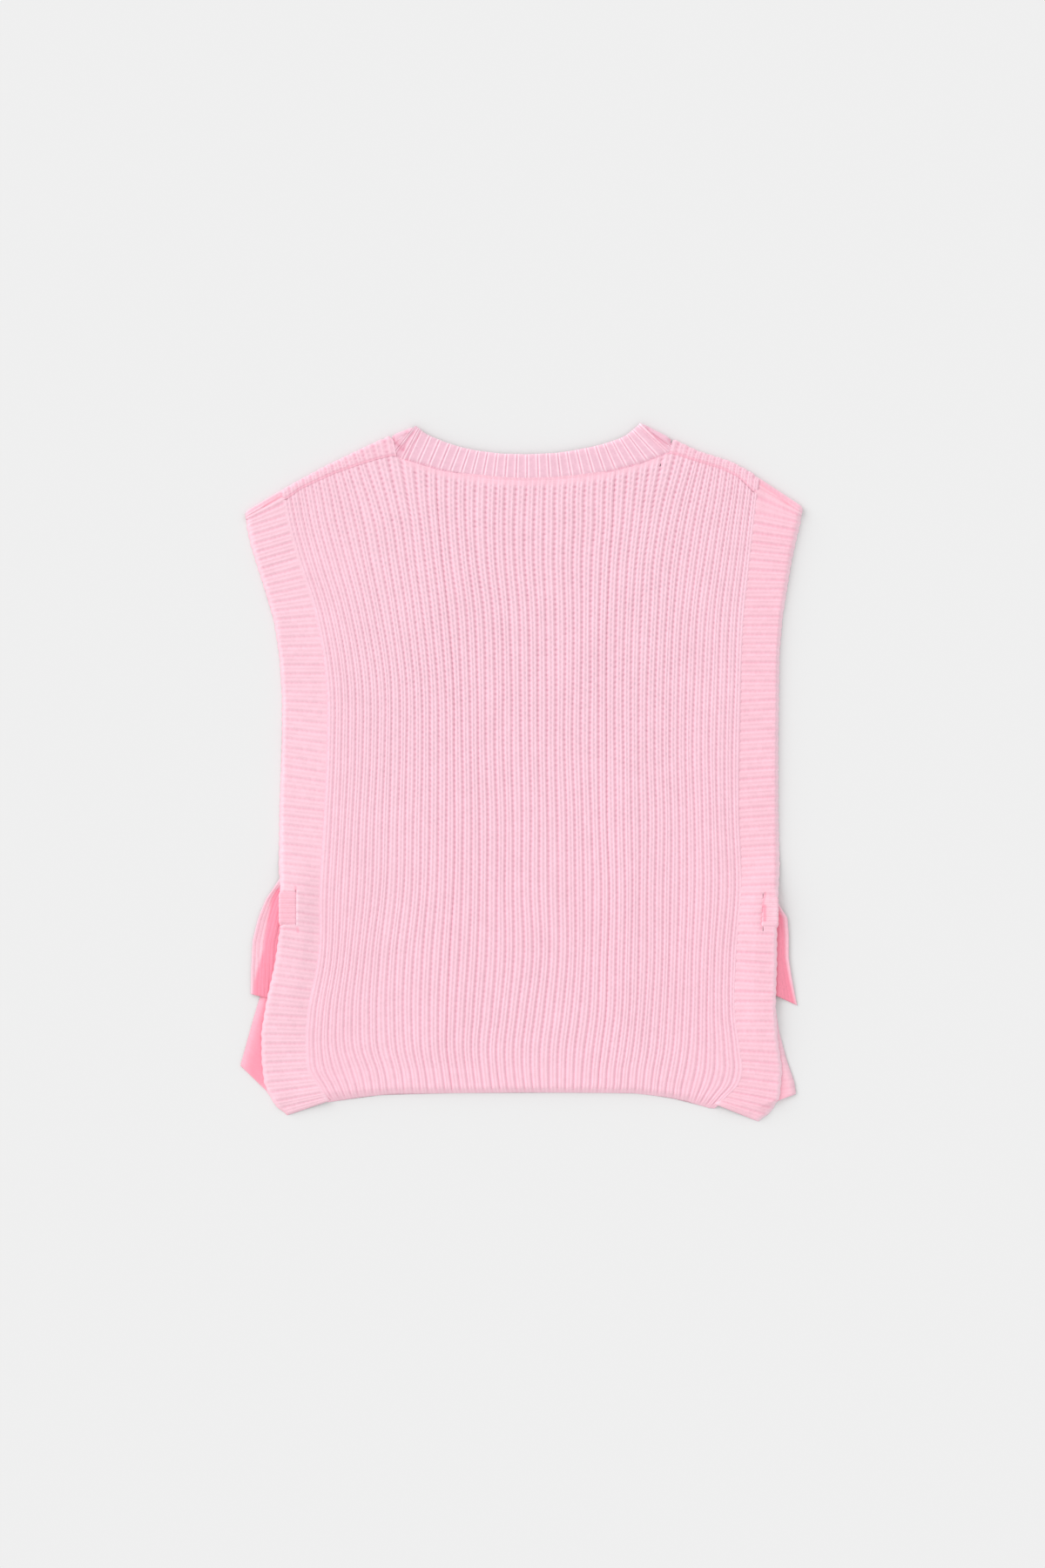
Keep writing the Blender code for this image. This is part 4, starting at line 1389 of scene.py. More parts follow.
@dataclass
class Neckband:
    """The neckband: one strip linked on all round the neck, its ends joined at the left shoulder."""

    node: str = "neckband"
    wall: float = 2.05
    under_wall: float = 1.6
    centre: tuple[float, float] = (4.0, 262.7)
    join_rib: float = 15.05
    lap: float = 0.9
    tips: dict[Side, tuple[float, float]] = field(
        default_factory=lambda: {Side.LEFT: (-106.0, -86.4), Side.RIGHT: (123.4, 96.0)}
    )
    peaks: tuple[tuple[float, float, float], ...] = (
        # x, height and width of the band's peaks at the shoulders
        (-86.4, 3.4, 7.0), (98.0, 4.3, 8.0),
    )
    lean: Table = (
        # linked x, free x
        (-104.0, -86.3), (-93.3, -81.8), (-78.5, -69.0), (-56.0, -48.0), (-38.0, -33.0),
        (-18.0, -16.0), (4.0, 4.0), (25.0, 23.5), (45.0, 40.5), (71.5, 63.5), (91.0, 78.0),
        (101.0, 85.0), (111.5, 90.5), (121.2, 96.0),
    )
    columns: int = 16
    more_columns: tuple[float, ...] = (0.02, 0.045, 0.97)
    rows_per_rib: int = 12
    turn_rows: int = 10
    lead_rows: int = 8
    stitch: float = 2.3
    link_pitch: float = 2.3
    plain: float = 0.8
    edge_radius: float = 2.4
    loop_depth: float = 0.35
    # Troughs and ridges at the join and the right tip, with painted shade along them.
    creases: tuple[Crease, ...] = (
        Crease(((-93.3, 253.4), (-90.2, 261.9), (-88.4, 266.9), (-83.8, 272.5), (-82.0, 276.0)),
               0.8, -0.3, 0.4),
        Crease(((-95.4, 262.6), (-94.4, 267.6), (-91.2, 272.5), (-87.0, 277.4)), 0.8, -0.5, 0.7),
        Crease(((-95.4, 273.6), (-91.9, 277.4)), 0.7, -0.4, 0.5),
        Crease(((-105.3, 271.8), (-99.7, 266.1), (-96.1, 262.6)), 0.8, -0.4, 0.6),
        Crease(((-103.9, 266.1), (-99.7, 270.4)), 0.7, -0.4, 0.5),
        Crease(((-101.1, 260.5), (-96.1, 266.9)), 0.7, -0.4, 0.5),
        Crease(((-101.0, 268.0), (-97.0, 261.0)), 4.0, -0.1, 0.35),
        Crease(((98.0, 278.1), (106.5, 269.7), (114.2, 262.6)), 0.7, -0.4, 0.45),
        Crease(((100.8, 279.6), (108.6, 272.5), (117.8, 263.3)), 0.7, -0.4, 0.5),
        Crease(((106.5, 275.3), (118.5, 266.9)), 0.7, -0.4, 0.5),
        Crease(((109.0, 272.0), (118.0, 267.5)), 2.2, 0.0, 0.3),
    )

    def build(self, dresser: Dresser) -> None:
        """Make and dress the neckband.

        Args:
            dresser: Gives its finish.
        """
        linked, free, outward, ribs = self._stations()
        share = shares(self.columns)
        share = np.sort(np.concatenate([share, self.more_columns]))
        share_at = np.broadcast_to(share, (len(ribs), len(share)))
        inner = blend_points(linked[:, None], free[:, None], share_at)
        width = np.linalg.norm(free - linked, axis=-1)[:, None]
        from_link, from_free = share * width, (1 - share) * width
        walked = walked_along(linked)
        from_join = np.minimum(walked, walked[-1] - walked)[:, None]
        ribs_at = np.broadcast_to(ribs[:, None], from_link.shape)
        stitches = from_link / self.stitch
        upper, under = ease(outward[:, 2:3] * 2), ease(-outward[:, 2:3] * 2)
        raised = ease((from_link - 1.5) / 3.0)
        knit = BAND_KNIT.relief(ribs_at, stitches, self.plain) * raised
        wall = self.wall + (self.under_wall - self.wall) * under
        inset = from_free + self.loop_depth * wave(ribs_at * 2)
        height = (wall + knit) * rim(inset + EDGE, self.edge_radius)
        height = height * (0.62 + 0.38 * rounding(from_link, 1.2))
        link = wave(walked[:, None] / self.link_pitch) * bell(from_link - 1.4, 0.55)
        height = height - 0.5 * link
        height = height * (0.9 + 0.1 * rounding(from_join + EDGE, 1.3))
        height = height + raising(self.creases, inner[..., :2]) * upper
        # Painted shade along the dotted link line, just above it, at the join and in the creases.
        painted_shade = 0.7 * link + 0.12 * bell(from_link - 1.3, 0.45) + 0.15 * bell(from_join, 0.9)
        painted_shade = painted_shade + shading(self.creases, inner[..., :2]) * upper
        marks = {"painted_shade": np.clip(painted_shade, 0.0, 1.0), "plain": self.plain, "spread": raised}
        normals = np.broadcast_to(outward[:, None], inner.shape)
        piece = KnitSheet("neckband_knit", inner, normals, height, ribs_at, stitches, marks,
                          inner_step=4).build()
        dresser.dress(piece, BAND_FINISH, Slot.TRIM, self.node,
                      plan_area(inner[..., :2]))

    def _stations(self) -> Lines:
        """Join the band's stretches into one, which starts and ends at its join.

        Returns:
            Lines from the linked edge to the free one.
        """
        above, below = self._above(), self._below()
        right = self._turn(above, below, Side.RIGHT)
        left = self._turn(below, above, Side.LEFT)
        first = int(np.searchsorted(above.ribs, self.join_rib))
        rows = []
        for parts in zip(above[:3], right[:3], below[:3], left[:3]):
            points = np.concatenate(parts)
            points = np.concatenate([points[first:], points[:first + 1]])
            beside_join = [points[0] * 0.9 + points[1] * 0.1, points[-1] * 0.9 + points[-2] * 0.1]
            rows.append(np.insert(points, [1, len(points) - 1], beside_join, axis=0))
        walked = walked_along(rows[0])
        pitch = walked[len(above.ribs) - first] / (above.ribs[-1] - above.ribs[first])
        return Lines(*rows, self.join_rib + walked / pitch)

    def _above(self) -> Lines:
        """Lay the stretch on the upper side.

        Returns:
            Lines from left to right, from the linked edge to the free one.
        """
        upper = BODY.upper_plan(self.node)
        neck = (BODY.neck_first, BODY.neck_last)
        count = round((BODY.neck_last - BODY.neck_first) * self.rows_per_rib)
        ribs = np.linspace(*neck, count + 1)
        x = np.interp(ribs, neck, (self.tips[Side.LEFT][0] + 0.1, self.tips[Side.RIGHT][0] - 0.1))
        free_x = read_table(self.lean, x)
        free_y = upper.edge(free_x, True, True) + self._peak(free_x)
        level = np.full(len(x), BODY.back_level)
        linked = np.stack([x, np.interp(x, *BODY.back_shape().high) + 0.35, level], -1)
        free = np.stack([free_x, free_y, level], -1)
        toward = (linked - free) / np.linalg.norm(linked - free, axis=-1)[:, None]
        return Lines(linked + toward * self.lap, free, np.broadcast_to(UP, (len(x), 3)), ribs)

    def _peak(self, x: Array) -> Array:
        """How much higher the free edge is at the band's peaks."""
        return sum(rise * bell(x - at, width) for at, rise, width in self.peaks)

    def _below(self) -> Lines:
        """Lay the stretch underneath.

        Returns:
            Lines from right to left, from the linked edge to the free one.
        """
        lower = BODY.lower_plan(self.node)
        angles = np.radians(np.linspace(-3.0, -177.0, 240))
        linked, free = [], []
        for angle in angles:
            direction = (math.cos(angle), math.sin(angle))
            cuts = lower.cuts(self.centre, direction)
            cuts = cuts[cuts > 0]
            for store, distance in ((linked, cuts.max()), (free, cuts.min())):
                store.append((self.centre[0] + direction[0] * distance,
                              self.centre[1] + direction[1] * distance, BODY.front_wall))
        return Lines(np.array(linked), np.array(free), np.broadcast_to(DOWN, (len(angles), 3)))

    def _turn(self, before: Lines, after: Lines, side: Side) -> Lines:
        """Lead the band over a shoulder's fold.

        Args:
            before: Lines of the stretch that ends at the fold.
            after: Lines of the one that starts there.
            side: The shoulder's side.

        Returns:
            Lines from the linked edge to the free one.
        """
        normal_x, normal_y = BODY.fold_normal(side)
        linked_from, free_from = before.start[-1], before.end[-1]
        linked_to, free_to = after.start[0], after.end[0]
        bases = self._fold_ends(side)
        upward = linked_from[2] < linked_to[2]
        first, last = (DOWN, UP) if upward else (UP, DOWN)
        lines = []
        steps = shares(self.lead_rows)[1:-1]
        for share in steps:
            lines.append((*self._slide(linked_from, free_from, bases, share), first))
        for share in shares(self.turn_rows):
            angle = math.pi * (share if upward else 1 - share)
            out = math.sin(angle)
            direction = np.array((normal_x * out, normal_y * out, -math.cos(angle)))
            lift = np.array((0.0, 0.0, BODY.front_wall + BODY.fold_radius))
            lift = lift + direction * BODY.fold_radius
            lines.append((bases[0] + lift, bases[1] + lift, direction))
        for share in steps[::-1]:
            lines.append((*self._slide(linked_to, free_to, bases, share), last))
        return Lines(*(np.array(points) for points in zip(*lines)))

    def _fold_ends(self, side: Side) -> list[Array]:
        """Find where the fold's axis ends under the band's linked and free edges.

        Args:
            side: The shoulder's side.

        Returns:
            Two points at floor level.
        """
        outline = Outline(self.node)
        thick = BODY.fold_radius + self.wall + BAND_KNIT.rise * 0.7
        reach = thick / BODY.fold_normal(side)[1]
        furthest = abs(outline.corner(side.value, 0.0)[0])
        ends = []
        for x in self.tips[side]:
            inside = side.value * min(abs(x), furthest) - side.value * 0.3
            top = highest((outline,), inside)
            top += float(self._peak(np.array(inside))) if x == self.tips[side][1] else 0.0
            ends.append(np.array((inside, top - reach, 0.0)))
        return ends

    @staticmethod
    def _slide(linked: Array, free: Array, bases: list[Array], share: float) -> tuple[Array, Array]:
        """A cross line between a flat stretch's last one and the fold's axis."""
        level = np.array((0.0, 0.0, linked[2]))
        return linked + (bases[0] + level - linked) * share, free + (bases[1] + level - free) * share


# -------- side trims


class TrimGrid(NamedTuple):
    """Where the points of a trim lie: rows along it, columns from its seam to its outer edge."""

    inner: Array
    ribs: Array
    from_seam: Array
    from_edge: Array
    from_end: Array
    over: Array
    sewn: Array


@dataclass
class SideTrim:
    """A side trim with ribs across it: up the back, over the shoulder and down the front."""

    side: Side
    lines: tuple[tuple[float, float, float], ...]
    low_lines: Table
    corner_shade: Table
    slit_x: float
    slit_ribs: tuple[float, float]
    clarity: float
    strap_heights: tuple[float, float]
    creases: tuple[Crease, ...]
    # Painted shade over the trim's inside, leaving its rims lighter, and painted shade on its outer rim
    # where the light catches it.
    shade: float
    edge_shade: float = 0.0
    ribs: int = 66
    strap_bed: float = 1.05
    strap_fade: float = 6.0
    wall: float = 1.65
    under_wall: float = 1.6
    back_rows: int = 10
    front_rows: int = 6
    climb_rows: int = 10
    fold_rows: int = 10
    columns: int = 27
    slit_width: float = 0.35
    stitch: float = 3.9
    inner_smooth: float = 5.0
    edge_smooth: float = 3.6
    edge_radius: float = 3.0
    # rise, distance and width of the raised lines beside the seam and the outer edge
    seam_bead: tuple[float, float, float] = (0.45, 2.4, 1.4)
    edge_bead: tuple[float, float, float] = (0.4, 1.9, 1.2)
    seam_depth: float = 0.5
    seam_shade: float = 0.2
    seam_width: float = 0.8
    join_depth: float = 0.6
    join_shade: float = 0.18
    join_at: float = 0.42
    edge_shade_width: float = 1.7
    rim_wave: float = 0.35
    scallop: float = 0.55
    bed_inset: float = 1.2
    fold_knit: float = 0.45
    fold_ribs: float = 0.8
    fold_blend: float = 30.0
    tip_above: float = 190.0
    lift_rows: int = 41
    seed: int = 5
    clear_along: Table = ((14.0, 1.1), (24.0, 0.9), (54.0, 0.9), (62.0, 1.5))

    @property
    def node(self) -> str:
        """The trim's solid."""
        return f"trim_{self.side.word}"

    def _under_strap(self, y: Array) -> Array:
        """Find where the strap lies over the trim or under its edge.

        Args:
            y: Heights.

        Returns:
            1 at those heights, and 0 away from them.
        """
        found = np.zeros(np.shape(y))
        for part in ("pass", "end"):
            low, high = (corner.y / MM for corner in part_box(f"strap_{self.side.word}_{part}"))
            near = ease((y - low) / self.strap_fade + 1) * ease((high - y) / self.strap_fade + 1)
            found = np.maximum(found, near)
        return found

    def _droop(self, inner: Array) -> Array:
        """Let the upper layer come down past the lower one's outer edge and its hem.

        Args:
            inner: Points of the upper layer.

        Returns:
            How far each comes down.
        """
        lower = BODY.lower_plan(self.node)
        y = inner[..., 1]
        past_edge = np.abs(inner[..., 0]) - np.abs(self._edge(lower, True)(y))
        past_hem = lower.corner(0.0, -1.0)[1] - y
        side = BODY.droop(past_edge, past_edge[:, -1:])
        return np.maximum(side, BODY.droop(past_hem, np.full(1, past_hem.max())))

    def build(self, dresser: Dresser) -> None:
        """Make and dress the trim.

        Args:
            dresser: Gives its finish.
        """
        upper = self._back_lines()
        turn = self._turn_lines(upper)
        lower = self._front_lines(turn)
        start, end, outward, ribs = (np.concatenate(parts) for parts in zip(upper, turn, lower))
        width = np.linalg.norm((end - start)[:, :2], axis=-1)
        share, slit_column = self._shares(start, end, width)
        inner = blend_points(start[:, None], end[:, None], share)
        count, front = len(upper.ribs), len(upper.ribs) + len(turn.ribs)
        inner[..., 2] += self._lift(inner, share, count)
        free = 1 - self._under_strap(inner[:count, -1:, 1])
        inner[:count, :, 2] -= self._droop(inner[:count]) * free
        walked = walked_along(end)
        grid = TrimGrid(
            inner=inner,
            ribs=np.broadcast_to(ribs[:, None], share.shape),
            from_seam=share * width[:, None],
            from_edge=(1 - share) * width[:, None],
            from_end=np.minimum(walked, walked[-1] - walked)[:, None],
            over=outward[:, 2:3] > -0.5,
            sewn=bell(np.arange(len(ribs)) - count - self.join_at * self.climb_rows, 0.9)[:, None],
        )
        luck = self._luck(grid.ribs, share)
        ribbed = away(grid.from_seam, self.inner_smooth) * away(grid.from_edge, self.edge_smooth)
        stitches = grid.from_seam / self.stitch
        knit = TRIM_KNIT.relief(grid.ribs, stitches, 0.0, luck) * ribbed
        rim_share = self._rim_share(grid)
        height = self._height(grid, knit, rim_share)
        dent = (TRIM_KNIT.rise - knit) * np.where(grid.over, 0.5, 0.08) * ribbed
        for gap in (grid.from_seam, grid.from_edge):
            dent = dent * rounding(gap + INNER_EDGE, self.edge_radius)
        front_dent = np.maximum(dent, 0.85 * height * (1 - rim_share))
        painted_shade = self._painted_shade(grid)
        # The front trim's corners get painted shade, deepest near their outer edge.
        painted_shade[front:] = self._corner_painted_shade(inner[front:])
        clear = ribbed * np.where(grid.over, 1.0, 0.25)
        marks = {"painted_shade": painted_shade, "plain": 1 - clear, "spread": clear * luck}
        slit = (slit_column, *(int(round(rib * self.back_rows)) for rib in self.slit_ribs))
        piece = KnitSheet(f"trim_{self.side.word}_knit", inner,
                          np.broadcast_to(outward[:, None], inner.shape), height, grid.ribs, stitches,
                          marks, np.where(grid.over, dent, front_dent), 3, slit).build()
        size = (width.mean(), walked[-1])
        dresser.dress(piece, TRIM_FINISH, Slot.TRIM, self.node, size[0] * size[1])

    def _rim_share(self, grid: TrimGrid) -> Array:
        """Share of the full height that the soft rims leave."""
        inset = grid.from_edge + self.rim_wave * (1 - wave(grid.ribs)) + EDGE
        return rim(inset, self.edge_radius) * rim(grid.from_end + EDGE, self.edge_radius)

    def _height(self, grid: TrimGrid, knit: Array, rim_share: Array) -> Array:
        """Work out how far the outer face stands off from the inner one.

        Args:
            grid: The trim's points.
            knit: Height of the ribs.
            rim_share: Share of the full height that the soft rims leave.

        Returns:
            The heights.
        """
        beads = 0.0
        for gap, bead in ((grid.from_seam, self.seam_bead), (grid.from_edge, self.edge_bead)):
            beads = beads + bead[0] * bell(gap - bead[1], bead[2])
        height = np.where(grid.over, self.wall, self.under_wall) + knit + beads * grid.over
        height = np.where(grid.over, height * rim_share, np.minimum(height, BODY.front_wall))
        height = height - self.join_depth * grid.sewn
        height = height - self.seam_depth * bell(grid.from_seam, self.seam_width) * grid.over
        bed = self._bed(grid.inner[..., 1]) * ease(np.abs(grid.inner[..., 0]) - self.slit_x)
        height = height - self.strap_bed * bed * grid.over
        return height + raising(self.creases, grid.inner[..., :2]) * grid.over

    def _painted_shade(self, grid: TrimGrid) -> Array:
        """Work out how deep in painted shade the points lie: over the trim's inside, which leaves its
        rims lighter as a painted highlight, along its seam and shoulder join, on the left outer rim and
        in the creases.

        Args:
            grid: The trim's points.

        Returns:
            Shares from 0 to 1.
        """
        inside = ease(grid.from_seam / 5.0) * ease((grid.from_edge - 1.0) / 3.5)
        painted_shade = self.shade * inside + self.seam_shade * bell(grid.from_seam, self.seam_width)
        painted_shade = painted_shade + self.join_shade * grid.sewn
        painted_shade = painted_shade + self.edge_shade * bell(grid.from_edge, self.edge_shade_width) * grid.over
        return np.clip(painted_shade + shading(self.creases, grid.inner[..., :2]), 0.0, 1.0)

    def _bed(self, y: Array) -> Array:
        """1 at the heights of the bed in which the strap lies."""
        low, high = self.strap_heights
        return ease((y - low) / 3.0) * ease((high - y) / 3.0)

    def _luck(self, ribs: Array, share: Array) -> Array:
        """Draw how clearly each rib stands out, which changes along the rib.

        Args:
            ribs: Rib numbers of the points.
            share: Their shares from the seam to the outer edge.

        Returns:
            How clearly, one for each point.
        """
        most = 3 * self.ribs
        draws = np.random.default_rng(self.seed + self.side.value).uniform(0.45, 1.0, (3, most))
        at_seam, middle, at_edge = draws[:, np.clip(np.round(ribs).astype(int), 0, most - 1)]
        inner_part, outer_part = np.clip(2 * share, 0.0, 1.0), np.clip(2 * share - 1, 0.0, 1.0)
        found = np.where(share < 0.5, at_seam * (1 - inner_part) + middle * inner_part,
                         middle * (1 - outer_part) + at_edge * outer_part)
        return self.clarity * found * read_table(self.clear_along, ribs)

    def _corner_painted_shade(self, inner: Array) -> Array:
        """How deep in painted shade the front trim's inner face lies under the back trim's edge, by its
        distance from the edge.
        """
        return read_table(self.corner_shade, np.abs(inner[:, -1:, 0]) - np.abs(inner[..., 0]))

    def _shares(self, start: Array, end: Array, width: Array) -> tuple[Array, int]:
        """Share the points out across the trim, with two columns along the slit's edges.

        Args:
            start: Ends of the rib lines at the seam.
            end: Their ends at the outer edge.
            width: Their lengths.

        Returns:
            Share of each point, and the column before the slit.
        """
        even = shares(self.columns)
        middle = (self.slit_x - np.abs(start[:, 0])) / (np.abs(end[:, 0]) - np.abs(start[:, 0]))
        middle = np.clip(middle, 0.5, 0.72)
        column = int(0.6 * self.columns)
        half = self.slit_width / 2 / width
        share = np.empty((len(width), self.columns + 1))
        share[:, :column + 1] = (middle - half)[:, None] * (even[:column + 1] / even[column])
        low = (middle + half)[:, None]
        after = (even[column + 1:] - even[column + 1]) / (1 - even[column + 1])
        share[:, column + 1:] = low + (1 - low) * after
        return share, column

    def _edge(self, outline: Outline, outer: bool) -> Callable[[Array], Array]:
        """Read an edge of the trim.

        Args:
            outline: Plan of one of its layers.
            outer: Whether it is the outer edge and not the seam.

        Returns:
            A function that gives the edge's place at heights.
        """
        bottom, top = outline.corner(0, -1)[1] + 0.02, outline.corner(0, 1)[1] - 0.02
        heights = np.linspace(bottom, top, 260)
        places = outline.edge(heights, False, outer == (self.side is Side.RIGHT))
        return lambda y: np.interp(y, heights, places)

    def _back_lines(self) -> Lines:
        """Lay the ribs on the upper side.

        Returns:
            Lines from the hem to the shoulder's fold, from the seam to the outer edge.
        """
        edge = self._edge(BODY.upper_plan(self.node), True)
        known, middles, rises = np.array(self.lines).T
        ribs = np.arange(0, int(known[-1] * self.back_rows) + 1) / self.back_rows
        middle = np.interp(ribs, known, middles)
        rise = np.interp(ribs, known, rises)
        y, out_y = middle - rise / 2, middle + rise / 2
        level = np.full(len(ribs), BODY.back_level)
        start = np.stack([self._seam_x(y), y, level], -1)
        inset = self.bed_inset * self._bed(out_y) + self.scallop * (1 - wave(ribs))
        end = np.stack([edge(out_y) - self.side.value * inset, out_y, level], -1)
        return Lines(start, end, np.broadcast_to(UP, start.shape), ribs)

    def _seam_x(self, y: Array) -> Array:
        """Places of the trim's inner edge, which lies a little over the body's first rib."""
        rib = BODY.seam_ribs[self.side]
        return BODY.line(np.full(len(y), rib if self.side is Side.LEFT else BODY.ribs - rib), y)

    def _turn_lines(self, upper: Lines) -> Lines:
        """Lead the ribs over the shoulder's fold.

        Args:
            upper: Lines of the upper side.

        Returns:
            Lines from the last one of the back to the first one underneath.
        """
        normal_x, normal_y = BODY.fold_normal(self.side)
        start, end, rib = upper.start[-1], upper.end[-1], upper.ribs[-1]
        ends = self._fold_ends()
        lines = []
        for share in shares(self.climb_rows)[1:]:
            point = start + (ends[0] - start) * share
            point[0] = self._seam_x(point[1:2])[0]
            lines.append((point, end + (ends[1] - end) * share, UP, rib + (self.ribs - rib) * share))
        for turn in np.linspace(math.pi, 0.0, self.fold_rows + 1)[1:]:
            out = math.sin(turn)
            direction = np.array((normal_x * out, normal_y * out, -math.cos(turn)))
            moved = [point - np.array((0.0, 0.0, BODY.fold_radius)) + direction * BODY.fold_radius
                     for point in ends]
            lines.append((*moved, direction, self.ribs + (1 - turn / math.pi) * self.fold_ribs))
        return Lines(*(np.array(parts) for parts in zip(*lines)))

    def _fold_ends(self) -> list[Array]:
        """Find where the fold's axis ends: at the seam and at the trim's outer tip.

        Returns:
            Two points at the upper layer's level.
        """
        outline = Outline(self.node)
        thick = BODY.fold_radius + self.wall + self.fold_knit
        reach = thick / BODY.fold_normal(self.side)[1]
        corner = outline.corner(-0.3 * self.side.value, 1.0)
        corner[0] = self._seam_x(corner[1:2])[0]
        high = outline.points[outline.points[:, 1] > self.tip_above]
        tip_x = float(np.abs(high[:, 0]).max() - 0.6) * self.side.value
        ends = []
        for x, plans in ((corner[0], (outline, Outline("front_panel"))), (tip_x, (outline,))):
            ends.append(np.array((x, highest(plans, x) - reach, BODY.back_level)))
        ends[0][0] = self._seam_x(ends[0][1:2])[0]
        return ends

    def _front_lines(self, turn: Lines) -> Lines:
        """Lay the ribs on the underside.

        Args:
            turn: Lines of the shoulder's fold.

        Returns:
            Lines from the fold to the front hem, from the seam to the outer edge.
        """
        plan = BODY.lower_plan(self.node)
        seam, edge = self._edge(plan, False), self._edge(plan, True)
        start, end, rib = turn.start[-1], turn.end[-1], turn.ribs[-1]
        ribs = rib + np.arange(1, self.ribs * self.front_rows + 1) / self.front_rows
        y = start[1] + (self.low_lines[0][0] - start[1]) * (ribs - rib) / (ribs[-1] - rib)
        near = ease((y - (start[1] - self.fold_blend)) / self.fold_blend)
        out_y = y + read_table(self.low_lines, y) * (1 - near) + (end[1] - start[1]) * near
        level = np.full(len(ribs), BODY.front_wall)
        seam_x = np.where(y > start[1] - 0.5, start[0], seam(y))
        lines_start = np.stack([seam_x, y, level], -1)
        lines_end = np.stack([edge(out_y), out_y, level], -1)
        return Lines(lines_start, lines_end, np.broadcast_to(DOWN, lines_start.shape), ribs)

    def _lift(self, inner: Array, share: Array, count: int) -> Array:
        """Let the trim rise over what lies between the layers.

        Args:
            inner: The trim's points.
            share: Their shares from the seam to the outer edge.
            count: How many rows lie on the upper side.

        Returns:
            How far each point rises.
        """
        levels = level_under(self.node, inner[:count, -4, :2], BODY.front_wall + 0.1)
        levels = np.where(np.isnan(levels), BODY.back_level, levels) - BODY.back_level
        padded = np.pad(levels, self.lift_rows // 2, mode="edge")
        levels = np.convolve(padded, np.ones(self.lift_rows) / self.lift_rows, mode="valid")
        lift = np.zeros(inner.shape[:2])
        lift[:count] = levels[:, None] * ease(share[:count] / 0.6)
        return lift


# -------- straps


@dataclass
class StrapPass:
    """The stretch of strap that comes out of the slit and goes round the trim's edge."""

    side: Side
    creases: tuple[Crease, ...]
    shade: float = 0.12
    wall: float = 1.0
    ribs: int = 8
    offsets: tuple[float, ...] = SIX_TO_A_RIB
    inset: float = 1.8
    shift: float = 1.0
    sink: float = 1.4
    bend: float = 0.7
    tuck: float = 10.0
    side_sag: float = 1.6
    stitch: float = 2.4
    edge_radius: float = 5.0

    @property
    def node(self) -> str:
        """The pass's solid."""
        return f"strap_{self.side.word}_pass"

    def path(self) -> tuple[Array, Array]:
        """Lead the strap out of the slit and round the trim's edge.

        Returns:
            Points of its inner line, distance from the middle and level, and outward directions.
        """
        low, high = (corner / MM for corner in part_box(self.node))
        outer = max(abs(low.x), abs(high.x)) - self.inset
        slit = min(abs(low.x), abs(high.x)) - self.shift
        thick = self.wall + STRAP_KNIT.rise + 0.05
        top, bottom = high.z - self.sink - thick, low.z + thick
        radius = (top - bottom) / 2
        edge = outer - radius - thick
        points = [((slit + thick, bottom - 0.8), (-1.0, 0.0))]
        for angle in np.linspace(0.0, math.pi / 2, 9):
            x = slit + thick + self.bend - self.bend * math.cos(angle)
            z = top - self.bend + self.bend * math.sin(angle)
            points.append(((x, z), (-math.cos(angle), math.sin(angle))))
        flat = np.linspace(points[-1][0][0], edge, 12)[1:-1]
        points += [((x, top), (0.0, 1.0)) for x in flat]
        for angle in np.linspace(0.0, math.pi, 13):
            x = edge + radius * math.sin(angle)
            z = (top + bottom) / 2 + radius * math.cos(angle)
            points.append(((x, z), (math.sin(angle), math.cos(angle))))
        points += [((x, bottom), (0.0, -1.0)) for x in np.linspace(edge, edge - self.tuck, 6)[1:]]
        places = np.array([point for point, _ in points])
        return places, np.array([direction for _, direction in points])

    def build(self, dresser: Dresser) -> None:
        """Make and dress the stretch.

        Args:
            dresser: Gives its finish.
        """
        places, directions = self.path()
        low, high = (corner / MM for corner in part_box(self.node))
        ribs = rib_columns(0.0, float(self.ribs), self.offsets)
        y = low.y + (high.y - low.y) * ribs / self.ribs
        shape = (len(places), len(y))
        inner = np.empty((*shape, 3))
        inner[..., 0] = self.side.value * places[:, :1]
        inner[..., 1] = y
        inner[..., 2] = places[:, 1:]
        outward = np.zeros((*shape, 3))
        outward[..., 0] = self.side.value * directions[:, :1]
        outward[..., 2] = directions[:, 1:]
        walked = walked_along(places)
        stitches = np.broadcast_to(walked[:, None] / self.stitch, shape)
        ribs_at = np.broadcast_to(ribs, shape)
        from_side = np.minimum(y - low.y, high.y - y)
        sag = self.side_sag * (1 - ease(from_side / self.edge_radius))
        inner[..., 2] -= sag * directions[:, 1:]
        outermost = ease((places[:, :1] - places[0, 0] - 2.0) / 5.0)
        inner[..., 0] -= self.side.value * sag * outermost
        height = self.wall + STRAP_KNIT.relief(ribs_at, stitches, 0.5)
        height = height * ease((from_side + 0.3) / (self.edge_radius * 0.8))
        height = height + raising(self.creases, inner[..., :2]) * directions[:, 1:]
        height = np.maximum(height, EDGE)
        # Painted shade over the pass and in its creases, with a painted highlight where a crease's shade
        # is below 0.
        painted_shade = np.clip(self.shade + shading(self.creases, inner[..., :2]), 0.0, 1.0)
        marks = {"painted_shade": painted_shade, "plain": 0.5, "spread": 0.5}
        piece = KnitSheet(f"strap_{self.side.word}_pass_knit", inner, outward, height, ribs_at, stitches,
                          marks, inner_step=3).build()
        width, length = high.y - low.y, walked[-1]
        dresser.dress(piece, TRIM_FINISH, Slot.STRAP, self.node, width * length)


